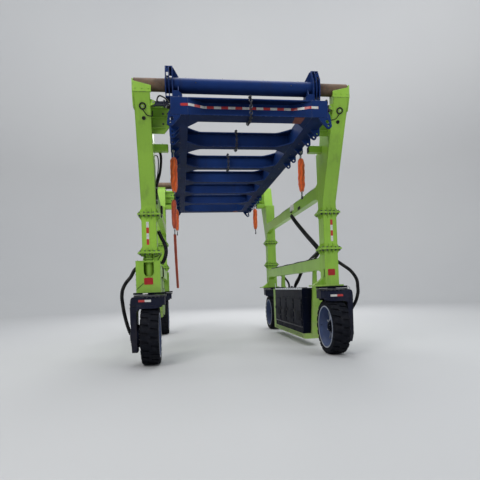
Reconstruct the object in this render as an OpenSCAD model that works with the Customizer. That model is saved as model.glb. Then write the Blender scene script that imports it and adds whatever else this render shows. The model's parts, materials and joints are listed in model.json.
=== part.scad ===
// Straddle carrier: four legs on steered wheels carry a lifting frame.
// Front is -Y, right is +X, up is +Z, millimetres. The origin is the middle of
// the footprint on the ground. Shapes are drawn for the quarter with X > 0 and
// Y > 0 and mirrored to the other corners.

/* [Layout] */
// Distance between the front and rear steering axes
wheelbase = 5980; // [5600:10:6400]
// Distance from the middle plane to a steering axis
slew_x = 1950; // [1930:5:1960]
// Distance from the middle plane to the middle of a leg
leg_x = 1922; // [1915:1:1930]
// Height of the axis of the sleeve tubes
tube_z = 5375; // [5350:5:5400]
// Distance from the steering axis out to the axis of the sleeve tubes
tube_out = 913; // [900:1:925]

/* [Wheels] */
// Radius of the tyre
tyre_r = 589; // [570:1:592]
// Width of the tyre
tyre_w = 370; // [330:5:390]
// Radius of the rim's tyre seat
rim_r = 440; // [420:1:450]
// Thickness of the rim's shell
rim_t = 16; // [10:1:22]
// Radius of the hub motor
motor_r = 190; // [160:5:200]
// Radius of the axle
axle_r = 65; // [50:1:68]

/* [Legs] */
// Width of a leg seen from the front
leg_w = 300; // [290:2:304]
// Depth of a leg seen from the side
leg_d = 320; // [300:5:330]
// Height of the underside of the lower legs
leg_foot_z = 1500; // [1495:1:1505]
// Height of the joint between lower and middle leg
low_joint_z = 2281; // [2270:1:2290]
// Height of the joint between middle and upper leg
high_joint_z = 3069; // [3050:1:3090]
// Height at which the upper leg starts to lean
kink_z = 3291; // [3280:1:3300]
// Thickness of one flange plate
flange_t = 20; // [16:1:24]
// How far a flange stands out from the leg
flange_out = 75; // [60:1:80]

/* [Top frame] */
// Outer radius of the sleeve tubes
sleeve_r = 140; // [138:1:145]
// Outer radius of the slide tubes inside them
slide_r = 120; // [115:1:121]
// Half length of a sleeve tube
sleeve_half = 1500; // [1496:1:1510]
// Height of the underside of the lower frame
frame_z = 4500; // [4495:1:4505]
// Height of the lower frame's beams
frame_h = 310; // [300:1:315]
// Inner face of a side beam
beam_in = 1100; // [1080:1:1110]
// Outer face of a side beam
beam_out = 1400; // [1395:1:1402]
// Half length of the lower frame
frame_half = 4680; // [4660:1:4700]
// Thickness of beam flanges
plate_t = 25; // [18:1:30]
// Radius of the holes in the lifting lugs
lug_hole_r = 22; // [18:1:26]
// Thickness of a lifting lug
lug_t = 30; // [24:1:36]

/* [Sides] */
// Underside of the lower tie beams
low_tie_z = 1840; // [1836:1:1845]
// Underside of the upper tie beams
high_tie_z = 3450; // [3430:1:3470]
// Height of the tie beams
tie_h = 260; // [240:5:270]
// Half length of the cradle
cradle_half = 1690; // [1650:5:1700]
// Underside of the cradle
cradle_z = 180; // [170:5:190]
// Height of the cradle's floor frame
cradle_h = 120; // [110:5:120]
// Height of the top of the power box
box_top_z = 1420; // [1380:5:1440]

/* [Hidden] */
$fn = 64;

LEFT = -1; RIGHT = 1; FRONT = -1; REAR = 1;
green = "yellowgreen"; blue = "midnightblue"; navy = [0.10, 0.12, 0.20]; black = [0.06, 0.06, 0.07];

axis_y = wheelbase / 2;
leg_in = leg_x - leg_w / 2;
leg_out = leg_x + leg_w / 2;
leg_back = axis_y - leg_d / 2 - 10;
leg_front = axis_y + leg_d / 2 - 10;
tube_y = axis_y + tube_out;
frame_top = frame_z + frame_h;
bore_r = slide_r + 4;
ring_z = 1430;
crown_z = 1205;
crown_top = 1385;

// the leaning front face of an upper leg: outward distance at a height
lean_top_z = 5180;
lean_top_y = tube_y + 147;
function lean_y(z) = leg_front + (z - kink_z) / (lean_top_z - kink_z) * (lean_top_y - leg_front);

// ---------- placing ----------
module corner(sx, sy) { mirror([sx < 0 ? 1 : 0, 0, 0]) mirror([0, sy < 0 ? 1 : 0, 0]) children(); }
module both_ends(sx) { for (sy = [FRONT, REAR]) corner(sx, sy) children(); }
module all_corners() { for (sx = [LEFT, RIGHT]) both_ends(sx) children(); }
// a block from its lowest to its highest corner
module block(a, b) { translate(a) cube([b[0] - a[0], b[1] - a[1], b[2] - a[2]]); }
// an outline in Y and Z, drawn out along X
module along_x(x0, x1) { translate([x0, 0, 0]) rotate([90, 0, 90]) linear_extrude(x1 - x0) children(); }
// an outline in X and Z, drawn out along Y
module along_y(y0, y1) { translate([0, y1, 0]) rotate([90, 0, 0]) linear_extrude(y1 - y0) children(); }
module rod_x(x0, x1, y, z, r) { translate([x0, y, z]) rotate([0, 90, 0]) cylinder(h = x1 - x0, r = r); }
module rod_y(y0, y1, x, z, r) { translate([x, y1, z]) rotate([90, 0, 0]) cylinder(h = y1 - y0, r = r); }

// ---------- swept tubes for hoses and slings ----------
function unit(v) = v / norm(v);
function spline(a, b, c, d, t) = 0.5 * ((2 * b) + (c - a) * t + (2 * a - 5 * b + 4 * c - d) * t * t
    + (3 * b - a - 3 * c + d) * t * t * t);
function smooth(p, n) = concat([for (i = [0 : len(p) - 2]) for (k = [0 : n - 1])
    spline(p[max(i - 1, 0)], p[i], p[i + 1], p[min(i + 2, len(p) - 1)], k / n)], [p[len(p) - 1]]);
function heading(p, i) = unit(p[min(i + 1, len(p) - 1)] - p[max(i - 1, 0)]);
module tube(p, d, sides = 8) {
    ref = [0.31, 0.95, 0.05];
    rings = [for (i = [0 : len(p) - 1]) let (t = heading(p, i), u = unit(cross(t, ref)), w = cross(t, u))
        for (k = [0 : sides - 1]) p[i] + d / 2 * (cos(360 * k / sides) * u + sin(360 * k / sides) * w)];
    n = len(p);
    walls = [for (i = [0 : n - 2]) for (k = [0 : sides - 1]) for (h = [0, 1])
        let (a = i * sides + k, b = i * sides + (k + 1) % sides, c = b + sides, e = a + sides)
        h == 0 ? [a, c, b] : [a, e, c]];
    polyhedron(points = rings, convexity = 6,
        faces = concat([[for (k = [0 : sides - 1]) k]], walls,
            [[for (k = [sides - 1 : -1 : 0]) (n - 1) * sides + k]]));
}

// ---------- top frame ----------
module tube_sleeves() {
    color(blue) for (sy = [FRONT, REAR])
        difference() {
            rod_x(-sleeve_half, sleeve_half, sy * tube_y, tube_z, sleeve_r);
            rod_x(-sleeve_half - 1, sleeve_half + 1, sy * tube_y, tube_z, bore_r);
        }
}

// end crossbeams: straight flanges above and below, a web set back in the middle
end_in = frame_half - 310;
web_y = frame_half - 170;
module end_outline() { polygon([[0, end_in], [920, end_in], [beam_in, end_in - 250], [beam_in, frame_half], [0, frame_half]]); }
module web_outline() { polygon([[0, end_in], [920, end_in], [beam_in, end_in - 250], [beam_in, frame_half], [1085, frame_half], [810, web_y], [0, web_y]]); }
module end_crossbeams() {
    color(blue) for (sy = [FRONT, REAR]) corner(RIGHT, sy) union() for (sx = [LEFT, RIGHT]) mirror([sx < 0 ? 1 : 0, 0, 0]) {
        translate([0, 0, frame_z]) linear_extrude(plate_t) end_outline();
        translate([0, 0, frame_top - plate_t]) linear_extrude(plate_t) end_outline();
        translate([0, 0, frame_z]) linear_extrude(frame_h) web_outline();
    }
}

// middle crossbeams: place along the frame, half depth, haunch length along the side beam
MIDDLE_Y = 0; MIDDLE_HALF = 1; MIDDLE_HAUNCH = 2;
MIDDLE = [[-2980, 95, 260], [-1410, 95, 260], [0, 95, 260], [1410, 95, 260], [2980, 95, 260]];
haunch_x = beam_in - 295;
web_half = 14;
// a curved haunch at the end of a beam, from its straight edge to the side beam
function haunch(half, long) = [for (k = [0 : 5]) [haunch_x + (beam_in - haunch_x) * k / 5, half + long * pow(k / 5, 1.3)]];
function flip(p, sx, sy) = [for (q = p) [sx * q[0], sy * q[1]]];
function backwards(p) = [for (i = [len(p) - 1 : -1 : 0]) p[i]];
function beam_plan(half, long) = let (h = haunch(half, long))
    concat(h, backwards(flip(h, 1, -1)), flip(h, -1, -1), backwards(flip(h, -1, 1)));
module middle_crossbeams() {
    color(blue) for (m = MIDDLE)
        translate([0, m[MIDDLE_Y], 0]) difference() {
            translate([0, 0, frame_z]) linear_extrude(frame_h) polygon(beam_plan(m[MIDDLE_HALF], m[MIDDLE_HAUNCH]));
            // the channels between the flanges on both sides of the web
            for (s = [-1, 1]) block([-beam_in - 1, s > 0 ? web_half : -500, frame_z + plate_t], [beam_in + 1, s > 0 ? 500 : -web_half, frame_top - plate_t]);
        }
}

module side_beams() {
    color(blue) for (sx = [LEFT, RIGHT]) corner(sx, REAR) block([beam_in, -frame_half, frame_z], [beam_out, frame_half, frame_top]);
}

// lifting lugs under a side beam, each a plate across the machine: distances
// from the middle, mirrored to the other end
LUG_Y = [1880, 2360, 2930, 3490, 3880, 4070];
lug_x = beam_out - 15;
lug_z = frame_z - 70;
lug_r = 55;
// a lug plate: eye below the beam's outer edge, tongue on the beam's outer face
module lug(y) {
    along_y(y - lug_t / 2, y + lug_t / 2) difference() {
        union() {
            translate([lug_x, lug_z]) circle(r = lug_r);
            polygon([[1250, frame_z], [lug_x - 41, lug_z - 36], [lug_x, lug_z], [lug_x + lug_r, lug_z], [lug_x + lug_r, frame_z + 70], [beam_out, frame_z + 110], [beam_out, frame_z]]);
        }
        translate([lug_x, lug_z]) circle(r = lug_hole_r);
    }
}
// the larger plate at a beam's end: an eye of its own, and a hole in line with
// the row of lugs so that a long pin can pass
end_lug_x = beam_out + 7;
end_lug_z = frame_z - 138;
end_lug_r = 58;
module end_lug() {
    along_y(frame_half - 40, frame_half) difference() {
        union() {
            translate([end_lug_x, end_lug_z]) circle(r = end_lug_r);
            polygon([[1225, frame_z], [1250, frame_z - 50], [end_lug_x - 43, end_lug_z - 39], [end_lug_x, end_lug_z], [end_lug_x + end_lug_r, end_lug_z], [1440, frame_z + 40], [beam_out, frame_z + 110], [beam_out, frame_z]]);
        }
        translate([end_lug_x, end_lug_z]) circle(r = 20);
        translate([lug_x, lug_z]) circle(r = lug_hole_r + 12);
    }
}
module end_lugs() { color(blue) all_corners() end_lug(); }
module lifting_lugs() { color(blue) all_corners() for (y = LUG_Y) lug(y); }

// sleeve brackets: inner and outer face of each plate, lowest point, half depth at the foot
PLATE_X0 = 0; PLATE_X1 = 1; PLATE_FOOT = 2; PLATE_HALF = 3;
PLATES = [[1345, 1365, frame_top, 190], [1410, 1426, 5100, 150], [1472, 1490, 5100, 150]];
module sleeve_brackets() {
    color(blue) all_corners() difference() {
        union() {
            for (p = PLATES) along_x(p[PLATE_X0], p[PLATE_X1])
                polygon([[tube_y - p[PLATE_HALF], p[PLATE_FOOT]], [tube_y + p[PLATE_HALF], p[PLATE_FOOT]],
                    [tube_y + 190, tube_z - 60], [tube_y + 190, tube_z + 120],
                    [tube_y + 70, 5720], [tube_y - 70, 5720],
                    [tube_y - 190, tube_z + 120], [tube_y - 190, tube_z - 60]]);
            // the bar that ties the plates at the top, and the shelf under them
            block([1345, tube_y - 70, 5695], [1490, tube_y + 70, 5720]);
            block([1345, tube_y - 150, 5090], [1490, tube_y + 150, 5110]);
            // saddle plate under the tube, sloping feet and gusset on the inner side
            along_x(1240, 1260) polygon([[tube_y - 190, frame_top], [tube_y + 190, frame_top], [tube_y + 190, 5180], [tube_y + 125, 5310], [tube_y - 125, 5310], [tube_y - 190, 5180]]);
            for (y = [tube_y - 190, tube_y + 170]) along_y(y, y + 20) polygon([[1180, frame_top], [1365, frame_top], [1365, 5200], [1250, 5200], [1180, 5120]]);
            along_y(tube_y - 10, tube_y + 10) polygon([[1235, tube_z + 130], [1355, tube_z + 130], [1355, 5720], [1335, 5720], [1235, tube_z + 160]]);
        }
        rod_x(1200, 1600, tube_y, tube_z, sleeve_r);
        rod_x(1200, 1600, tube_y, cyl_z, cyl_r);
    }
}

// cylinders that push the side frames out
cyl_z = 5020;
cyl_r = 48;
rod_r = 30;
module width_cylinders() {
    color(blue) all_corners() difference() {
        union() {
            rod_x(830, 1720, tube_y, cyl_z, cyl_r);
            rod_x(1500, 1530, tube_y, cyl_z, 75);
            rod_x(1690, 1720, tube_y, cyl_z, 56);
        }
        rod_x(860, 1721, tube_y, cyl_z, rod_r + 2);
    }
}

// ---------- slings ----------
sling_y = 2930;
// an open hook in the YZ plane below a height, k times the usual size
module hook(x, top, k) {
    along_x(x - 14 * k, x + 14 * k) translate([sling_y, top]) scale([k, k])
        polygon([[-26, 0], [26, 0], [60, -60], [45, -130], [-20, -150], [-60, -95], [-35, -85], [-15, -118], [18, -105], [24, -70]]);
}
module sling_fittings() {
    color("silver") {
        all_corners() {
            // shackle: pin through the lug, jaws on both sides of it
            rod_y(sling_y - 45, sling_y + 45, lug_x, lug_z, 18);
            difference() {
                along_y(sling_y - 30, sling_y + 30) polygon([[lug_x - 34, lug_z + 28], [lug_x + 34, lug_z + 28], [lug_x + 30, 4306], [lug_x - 30, 4306]]);
                block([lug_x - 90, sling_y - lug_t / 2 - 2, 4360], [lug_x + 90, sling_y + lug_t / 2 + 2, lug_z + 90]);
            }
        }
        // hooks under the slings
        all_corners() hook(lug_x, 3560, 1);
        corner(LEFT, FRONT) hook(lug_x + 22, 2782, 0.7);
    }
}
SLING_ROUTE = [[lug_x, -sling_y, 4298], [lug_x + 5, -sling_y, 4150], [lug_x, -sling_y, 3950], [lug_x + 4, -sling_y, 3750], [lug_x, -sling_y, 3566]];
LOWER_SLING_ROUTE = [[lug_x + 20, -sling_y, 3402], [lug_x + 28, -sling_y, 3200], [lug_x + 26, -sling_y, 3000], [lug_x + 22, -sling_y, 2790]];
TAIL_ROUTE = [[lug_x + 22, -sling_y, 2670], [lug_x + 20, -sling_y, 2500], [lug_x + 14, -sling_y, 2200], [lug_x + 4, -sling_y, 1850], [lug_x - 6, -sling_y, 1540]];
module sling(sx, sy) { color("orangered") corner(sx, -sy) tube(smooth(SLING_ROUTE, 2), 150, 10); }
module lower_sling() { color("orangered") corner(LEFT, REAR) tube(smooth(LOWER_SLING_ROUTE, 3), 100, 10); }
module sling_tail() { color("orangered") corner(LEFT, REAR) tube(smooth(TAIL_ROUTE, 3), 60, 8); }

// ---------- side frames ----------
module slide_tubes(sx) {
    color("rosybrown") both_ends(sx) difference() {
        rod_x(600, leg_out, tube_y, tube_z, slide_r);
        rod_x(599, leg_out - 20, tube_y, tube_z, slide_r - 20);
    }
}

prong_front = 3650;
module upper_leg() {
    difference() {
        union() {
            // lower box, leaning front plate, head under the slide tube, V, and the rear prong
            along_x(leg_in, leg_out) polygon([[leg_back, high_joint_z], [leg_front, high_joint_z], [leg_front, kink_z],
                [lean_top_y, lean_top_z], [lean_top_y, 5300], [tube_y - 115, 5300], [tube_y - 115, 4930], [lean_y(4930) - 45, 4930],
                [lean_y(4410) - 45, 4410], [prong_front, 4730], [prong_front - 30, 5110], [leg_back + 410, 5110],
                [leg_back + 370, 4980], [leg_back + 220, 4420], [leg_back, 4400]]);
            // slanted cap band and the tab at its outer end
            along_y(lean_top_y - 20, lean_top_y + 8) polygon([[leg_in - 22, lean_top_z - 6], [leg_out + 8, lean_top_z - 6], [leg_out + 8, 5380], [leg_in - 22, 5300]]);
            along_x(leg_out, leg_out + 28) polygon([[tube_y - 133, 4950], [lean_y(4950) - 6, 4950], [lean_top_y - 6, lean_top_z + 12], [lean_top_y - 6, 5430], [tube_y - 133, 5430]]);
            // flange
            block([leg_in - flange_out, leg_back - 55, high_joint_z], [leg_out + flange_out, leg_front + 55, high_joint_z + flange_t]);
            // guide plate and bar towards the side beam
            along_y(3575, 3605) polygon([[1430, 5110], [leg_in, 5110], [leg_in, 4560], [1540, 4560], [1430, 4700]]);
            block([1490, 3080, 4350], [leg_in, 3220, 4490]);
        }
        rod_x(leg_in - 30, leg_out, tube_y, tube_z, slide_r);
    }
}
module upper_legs(sx) { color(green) both_ends(sx) upper_leg(); }

module middle_leg() {
    block([leg_in, leg_back, low_joint_z], [leg_out, leg_front, high_joint_z]);
    for (z = [low_joint_z, high_joint_z - flange_t])
        block([leg_in - flange_out, leg_back - 55, z], [leg_out + flange_out, leg_front + 55, z + flange_t]);
}
module middle_legs(sx) { color(green) both_ends(sx) union() middle_leg(); }

module lower_leg() {
    difference() {
        union() {
            block([leg_in, leg_back, leg_foot_z - 30], [leg_out, leg_front, low_joint_z]);
            block([leg_in - flange_out, leg_back - 55, low_joint_z - flange_t], [leg_out + flange_out, leg_front + 55, low_joint_z]);
            block([1510, axis_y - 240, leg_foot_z - 30], [2140, axis_y + 240, leg_foot_z]);
            along_y(axis_y - 130, axis_y + 20) polygon([[1540, leg_foot_z], [leg_in, leg_foot_z], [leg_in, 1710], [leg_in - 24, 1640], [1650, 1560]]);
        }
        // slot in the inner face
        block([leg_in - 1, leg_front - 110, 1660], [leg_in + 120, leg_front - 40, 1840]);
    }
}
module lower_legs(sx) { color(green) both_ends(sx) lower_leg(); }

// suspension box: U-shaped slot in its outer end wall shows the round column
box_x0 = 1720; box_x1 = 2210; box_y0 = axis_y - 200; box_y1 = axis_y + 175; box_top = 2110;
col_r = 95; slot_r = 105;
module suspension_box() {
    difference() {
        block([box_x0, box_y0, leg_foot_z - 30], [box_x1, box_y1, box_top]);
        block([box_x0 + 30, box_y0 + 30, leg_foot_z], [box_x1 - 30, box_y1 - 30, box_top - 30]);
        along_y(box_y1 - 40, box_y1 + 1) union() {
            translate([slew_x, 1780 + slot_r]) circle(r = slot_r);
            translate([slew_x - slot_r, 1780 + slot_r]) square([2 * slot_r, 400]);
        }
        translate([slew_x, axis_y, box_top - 31]) cylinder(h = 40, r = col_r + 2);
    }
}
module suspension_boxes(sx) { color(green) both_ends(sx) suspension_box(); }
module columns(sx) {
    color(green) both_ends(sx) union() {
        translate([slew_x, axis_y, leg_foot_z]) cylinder(h = low_joint_z - flange_t - leg_foot_z, r = col_r);
        translate([slew_x, axis_y, 2150]) cylinder(h = 24, r = 125);
        block([leg_in - flange_out, leg_back - 55, low_joint_z - flange_t], [leg_out + flange_out, leg_front + 55, low_joint_z]);
    }
}

module tie_beams(sx, low_end) {
    color(green) corner(sx, REAR) {
        along_x(leg_in, leg_in + 200) polygon([[-low_end, low_tie_z - 60], [-low_end + 160, low_tie_z], [low_end - 160, low_tie_z], [low_end, low_tie_z - 60],
            [low_end, low_tie_z + tie_h + 60], [low_end - 160, low_tie_z + tie_h], [-low_end + 160, low_tie_z + tie_h], [-low_end, low_tie_z + tie_h + 60]]);
        along_x(leg_in, leg_in + 160) polygon([[-leg_back, high_tie_z - 60], [-leg_back + 160, high_tie_z], [leg_back - 160, high_tie_z], [leg_back, high_tie_z - 60],
            [leg_back, high_tie_z + tie_h + 60], [leg_back - 160, high_tie_z + tie_h], [-leg_back + 160, high_tie_z + tie_h], [-leg_back, high_tie_z + tie_h + 60]]);
    }
}

module fluid_tank() {
    color(green) corner(LEFT, REAR) union() {
        block([1770, -1590, 860], [2060, -60, low_tie_z - 60]);
        for (y = [-1500, -230]) block([1790, y, low_tie_z - 60], [1960, y + 80, low_tie_z]);
        block([1770, -1610, 1000], [2060, -1590, 1020]);
    }
}

// cradle: floor frame between end posts that hang from the lower tie beam
CROSS_Y = [-1630, -845, -30, 785, 1570];
module cradle() {
    color(green) corner(RIGHT, REAR) union() {
        block([1680, -cradle_half, cradle_z], [1740, cradle_half, cradle_z + cradle_h]);
        block([2000, -cradle_half, cradle_z], [2060, cradle_half, cradle_z + cradle_h]);
        block([1680, -cradle_half, cradle_z + cradle_h - 20], [2060, cradle_half, cradle_z + cradle_h]);
        for (y = CROSS_Y) block([1700, y, cradle_z], [2040, y + 60, cradle_z + cradle_h]);
        for (s = [-1, 1]) block([1680, s > 0 ? cradle_half - 60 : -cradle_half, cradle_z], [2060, s > 0 ? cradle_half : -cradle_half + 60, cradle_z + cradle_h]);
        for (sy = [FRONT, REAR]) mirror([0, sy < 0 ? 1 : 0, 0])
            along_y(cradle_half - 90, cradle_half) polygon([[1870, cradle_z], [2060, cradle_z], [2060, low_tie_z + tie_h], [leg_in + 200, low_tie_z + tie_h], [leg_in + 200, low_tie_z - 20]]);
        block([1680, cradle_half - 250, cradle_z + cradle_h - 1], [1760, cradle_half, box_top_z + 10]);
        // gussets on the outer side of the end posts
        for (sy = [FRONT, REAR]) mirror([0, sy < 0 ? 1 : 0, 0])
            along_y(cradle_half - 70, cradle_half - 40) polygon([[2050, 1560], [2225, 1200], [2225, 1130], [2050, 760]]);
    }
}
module power_box() {
    color(black) corner(RIGHT, REAR) union() {
        block([1685, -1580, cradle_z + cradle_h], [1990, cradle_half - 255, box_top_z]);
        block([1700, -1560, box_top_z - 1], [1980, 1420, box_top_z + 18]);
    }
}

module slew_rings(sx) {
    color(black) both_ends(sx) translate([slew_x, axis_y, 0]) difference() {
        translate([0, 0, ring_z]) cylinder(h = leg_foot_z - 30 - ring_z, r = 340);
        translate([0, 0, ring_z - 1]) cylinder(h = leg_foot_z, r = 102);
    }
}

module width_rods(sx) {
    color("silver") both_ends(sx) rod_x(900, leg_in, tube_y, cyl_z, rod_r);
}

// hoses held at both ends, as round-number points
LEFT_HOSE = [[-1734, -2930, 2720], [-1690, -2930, 2610], [-1630, -2930, 2480], [-1600, -2930, 2340], [-1615, -2930, 2220], [-1655, -2930, 2120], [-1682, -2930, 2080]];
RIGHT_HOSE = [[1760, -600, 3410], [1780, -760, 3290], [1825, -980, 3110], [1890, -1450, 2790], [1960, -1900, 2490], [2020, -1985, 2350], [2035, -1780, 2255],
    [2035, -1400, 2165], [2035, -850, 2035], [2035, -400, 1880], [2005, -190, 1690], [1965, 0, 1540], [1950, 40, 1450]];
// steering hoses: from the leg in a wide bow outwards to the fork, parted at the slew ring
STEER_UPPER_LEFT = [[2250, 2990, 1925], [2330, 2990, 1800], [2430, 2990, 1680], [2492, 2990, 1560], [2512, 2990, 1475]];
STEER_UPPER_RIGHT = [[2112, 2990, 2010], [2234, 2990, 1922], [2391, 2990, 1807], [2501, 2990, 1671], [2545, 2990, 1560], [2551, 2990, 1475]];
STEER_LOWER_LEFT = [[2514, 2990, 1450], [2515, 2990, 1336], [2484, 2990, 1090], [2431, 2990, 842], [2372, 2990, 656]];
STEER_LOWER_RIGHT = [[2554, 2990, 1450], [2555, 2990, 1315], [2505, 2990, 1141], [2430, 2990, 1012], [2372, 2990, 930]];
module steering_hoses(sx) { both_ends(sx) tube(smooth(sx < 0 ? STEER_UPPER_LEFT : STEER_UPPER_RIGHT, 3), 64, 8); }
module fork_hose(sx, sy) { color(black) corner(sx, sy) tube(smooth(sx < 0 ? STEER_LOWER_LEFT : STEER_LOWER_RIGHT, 3), 64, 8); }
module left_hoses() { color(black) { tube(smooth(LEFT_HOSE, 2), 70, 8); steering_hoses(LEFT); } }
module right_hoses() { color(black) { tube(smooth(RIGHT_HOSE, 3), 70, 8); steering_hoses(RIGHT); } }

// ---------- corners ----------
module fork(sx, sy) {
    color(navy) corner(sx, sy) difference() {
        union() {
        // crown under the slew ring
        translate([slew_x, axis_y, crown_z]) cylinder(h = crown_top - crown_z, r = 300);
        translate([slew_x, axis_y, crown_top]) cylinder(h = 36, r = 330);
        translate([slew_x, axis_y, crown_top]) cylinder(h = 75, r = 92);
        translate([0, 0, crown_z]) linear_extrude(crown_top - crown_z)
            polygon([[1650, axis_y - 150], [slew_x, axis_y - 300], [2330, axis_y - 250], [2330, axis_y + 250], [slew_x, axis_y + 300], [1650, axis_y + 150]]);
        // outer arm
        along_x(2220, 2330) polygon([[axis_y - 250, crown_top], [axis_y - 215, 900], [axis_y - 205, 420], [axis_y - 130, 260],
            [axis_y + 130, 260], [axis_y + 205, 420], [axis_y + 215, 900], [axis_y + 250, crown_top]]);
        }
        // rounded shoulder between crown and arm
        along_y(axis_y - 260, axis_y + 260) polygon([[2281, crown_top], [2303, crown_top - 12], [2319, crown_top - 38], [2328, crown_top - 80], [2331, crown_top - 130], [2331, crown_top + 1], [2281, crown_top + 1]]);
    }
}
module motor(sx, sy) {
    color(black) corner(sx, sy) union() {
        rod_x(2180, 2220, axis_y, tyre_r, 230);
        rod_x(2050, 2180, axis_y, tyre_r, motor_r);
        rod_x(1930, 2050, axis_y, tyre_r, axle_r);
    }
}
module rim(sx, sy) {
    color("slategray") corner(sx, sy) translate([slew_x, axis_y, tyre_r]) rotate([0, 90, 0]) rotate_extrude()
        polygon([[axle_r + 5, -10], [130, -10], [150, 60], [rim_r - rim_t, 60], [rim_r - rim_t, -170], [rim_r, -170], [rim_r, 170],
            [rim_r - rim_t, 170], [rim_r - rim_t, 85], [axle_r + 5, 85]]);
}
module tyre(sx, sy) {
    w = tyre_w / 2;
    color(black) corner(sx, sy) translate([slew_x, axis_y, tyre_r]) rotate([0, 90, 0]) rotate_extrude($fn = 96)
        polygon([[rim_r, -w + 22], [rim_r + 50, -w + 8], [tyre_r - 60, -w], [tyre_r - 12, -w + 12], [tyre_r, -w + 40],
            [tyre_r, w - 40], [tyre_r - 12, w - 12], [tyre_r - 60, w], [rim_r + 50, w - 8], [rim_r, w - 22]]);
}

tube_sleeves();
end_crossbeams();
middle_crossbeams();
side_beams();
lifting_lugs();
end_lugs();
sleeve_brackets();
width_cylinders();
sling_fittings();
sling(LEFT, FRONT);  // front_left_sling
lower_sling();  // front_left_lower_sling
sling_tail();  // front_left_sling_tail
sling(RIGHT, FRONT);  // front_right_sling
sling(LEFT, REAR);  // rear_left_sling
sling(RIGHT, REAR);  // rear_right_sling
slide_tubes(LEFT);  // left_slide_tubes
upper_legs(LEFT);  // left_upper_legs
middle_legs(LEFT);  // left_middle_legs
suspension_boxes(LEFT);  // left_suspension_boxes
columns(LEFT);  // left_columns
tie_beams(LEFT, box_y0);  // left_tie_beams
fluid_tank();  // left_fluid_tank
slew_rings(LEFT);  // left_slew_rings
width_rods(LEFT);  // left_width_rods
left_hoses();
slide_tubes(RIGHT);  // right_slide_tubes
upper_legs(RIGHT);  // right_upper_legs
middle_legs(RIGHT);  // right_middle_legs
lower_legs(RIGHT);  // right_lower_legs
tie_beams(RIGHT, leg_back);  // right_tie_beams
cradle();  // right_cradle
power_box();  // right_power_box
slew_rings(RIGHT);  // right_slew_rings
width_rods(RIGHT);  // right_width_rods
right_hoses();
fork(LEFT, FRONT);  // front_left_fork
fork_hose(LEFT, FRONT);  // front_left_fork_hose
motor(LEFT, FRONT);  // front_left_motor
rim(LEFT, FRONT);  // front_left_rim
tyre(LEFT, FRONT);  // front_left_tyre
fork(RIGHT, FRONT);  // front_right_fork
fork_hose(RIGHT, FRONT);  // front_right_fork_hose
motor(RIGHT, FRONT);  // front_right_motor
rim(RIGHT, FRONT);  // front_right_rim
tyre(RIGHT, FRONT);  // front_right_tyre
fork(LEFT, REAR);  // rear_left_fork
fork_hose(LEFT, REAR);  // rear_left_fork_hose
motor(LEFT, REAR);  // rear_left_motor
rim(LEFT, REAR);  // rear_left_rim
tyre(LEFT, REAR);  // rear_left_tyre
fork(RIGHT, REAR);  // rear_right_fork
fork_hose(RIGHT, REAR);  // rear_right_fork_hose
motor(RIGHT, REAR);  // rear_right_motor
rim(RIGHT, REAR);  // rear_right_rim
tyre(RIGHT, REAR);  // rear_right_tyre
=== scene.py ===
# Looks of the straddle carrier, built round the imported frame. Metres; front -Y, right +X, up +Z.
import json
import math

import bmesh
import bpy
from mathutils import Matrix, Vector, noise
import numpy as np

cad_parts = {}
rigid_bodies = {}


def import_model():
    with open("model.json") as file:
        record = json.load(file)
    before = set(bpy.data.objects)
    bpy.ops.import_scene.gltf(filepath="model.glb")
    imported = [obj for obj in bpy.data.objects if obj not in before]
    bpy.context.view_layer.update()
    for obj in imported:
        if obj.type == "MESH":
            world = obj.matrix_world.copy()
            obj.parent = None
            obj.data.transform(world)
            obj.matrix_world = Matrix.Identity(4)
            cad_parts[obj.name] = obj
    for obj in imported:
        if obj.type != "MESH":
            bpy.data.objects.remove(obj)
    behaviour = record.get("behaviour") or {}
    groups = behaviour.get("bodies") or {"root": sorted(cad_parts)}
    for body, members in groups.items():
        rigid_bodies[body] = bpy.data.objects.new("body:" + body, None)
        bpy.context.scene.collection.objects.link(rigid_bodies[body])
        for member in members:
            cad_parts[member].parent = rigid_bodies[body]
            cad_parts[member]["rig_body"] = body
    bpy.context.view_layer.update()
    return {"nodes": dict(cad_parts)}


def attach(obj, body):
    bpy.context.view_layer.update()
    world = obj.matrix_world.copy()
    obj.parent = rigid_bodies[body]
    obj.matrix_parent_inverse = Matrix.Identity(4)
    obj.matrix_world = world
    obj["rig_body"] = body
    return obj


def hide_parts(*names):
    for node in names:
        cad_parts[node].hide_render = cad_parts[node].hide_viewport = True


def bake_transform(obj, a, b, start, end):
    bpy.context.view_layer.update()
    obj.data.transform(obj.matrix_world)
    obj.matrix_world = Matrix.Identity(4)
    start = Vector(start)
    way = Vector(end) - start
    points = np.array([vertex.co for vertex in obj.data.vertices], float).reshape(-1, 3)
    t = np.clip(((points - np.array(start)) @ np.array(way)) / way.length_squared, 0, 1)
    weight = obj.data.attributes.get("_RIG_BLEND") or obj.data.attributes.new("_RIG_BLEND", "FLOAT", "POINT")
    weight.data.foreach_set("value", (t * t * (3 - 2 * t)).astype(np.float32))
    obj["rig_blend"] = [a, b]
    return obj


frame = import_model()
scene = bpy.context.scene

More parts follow.
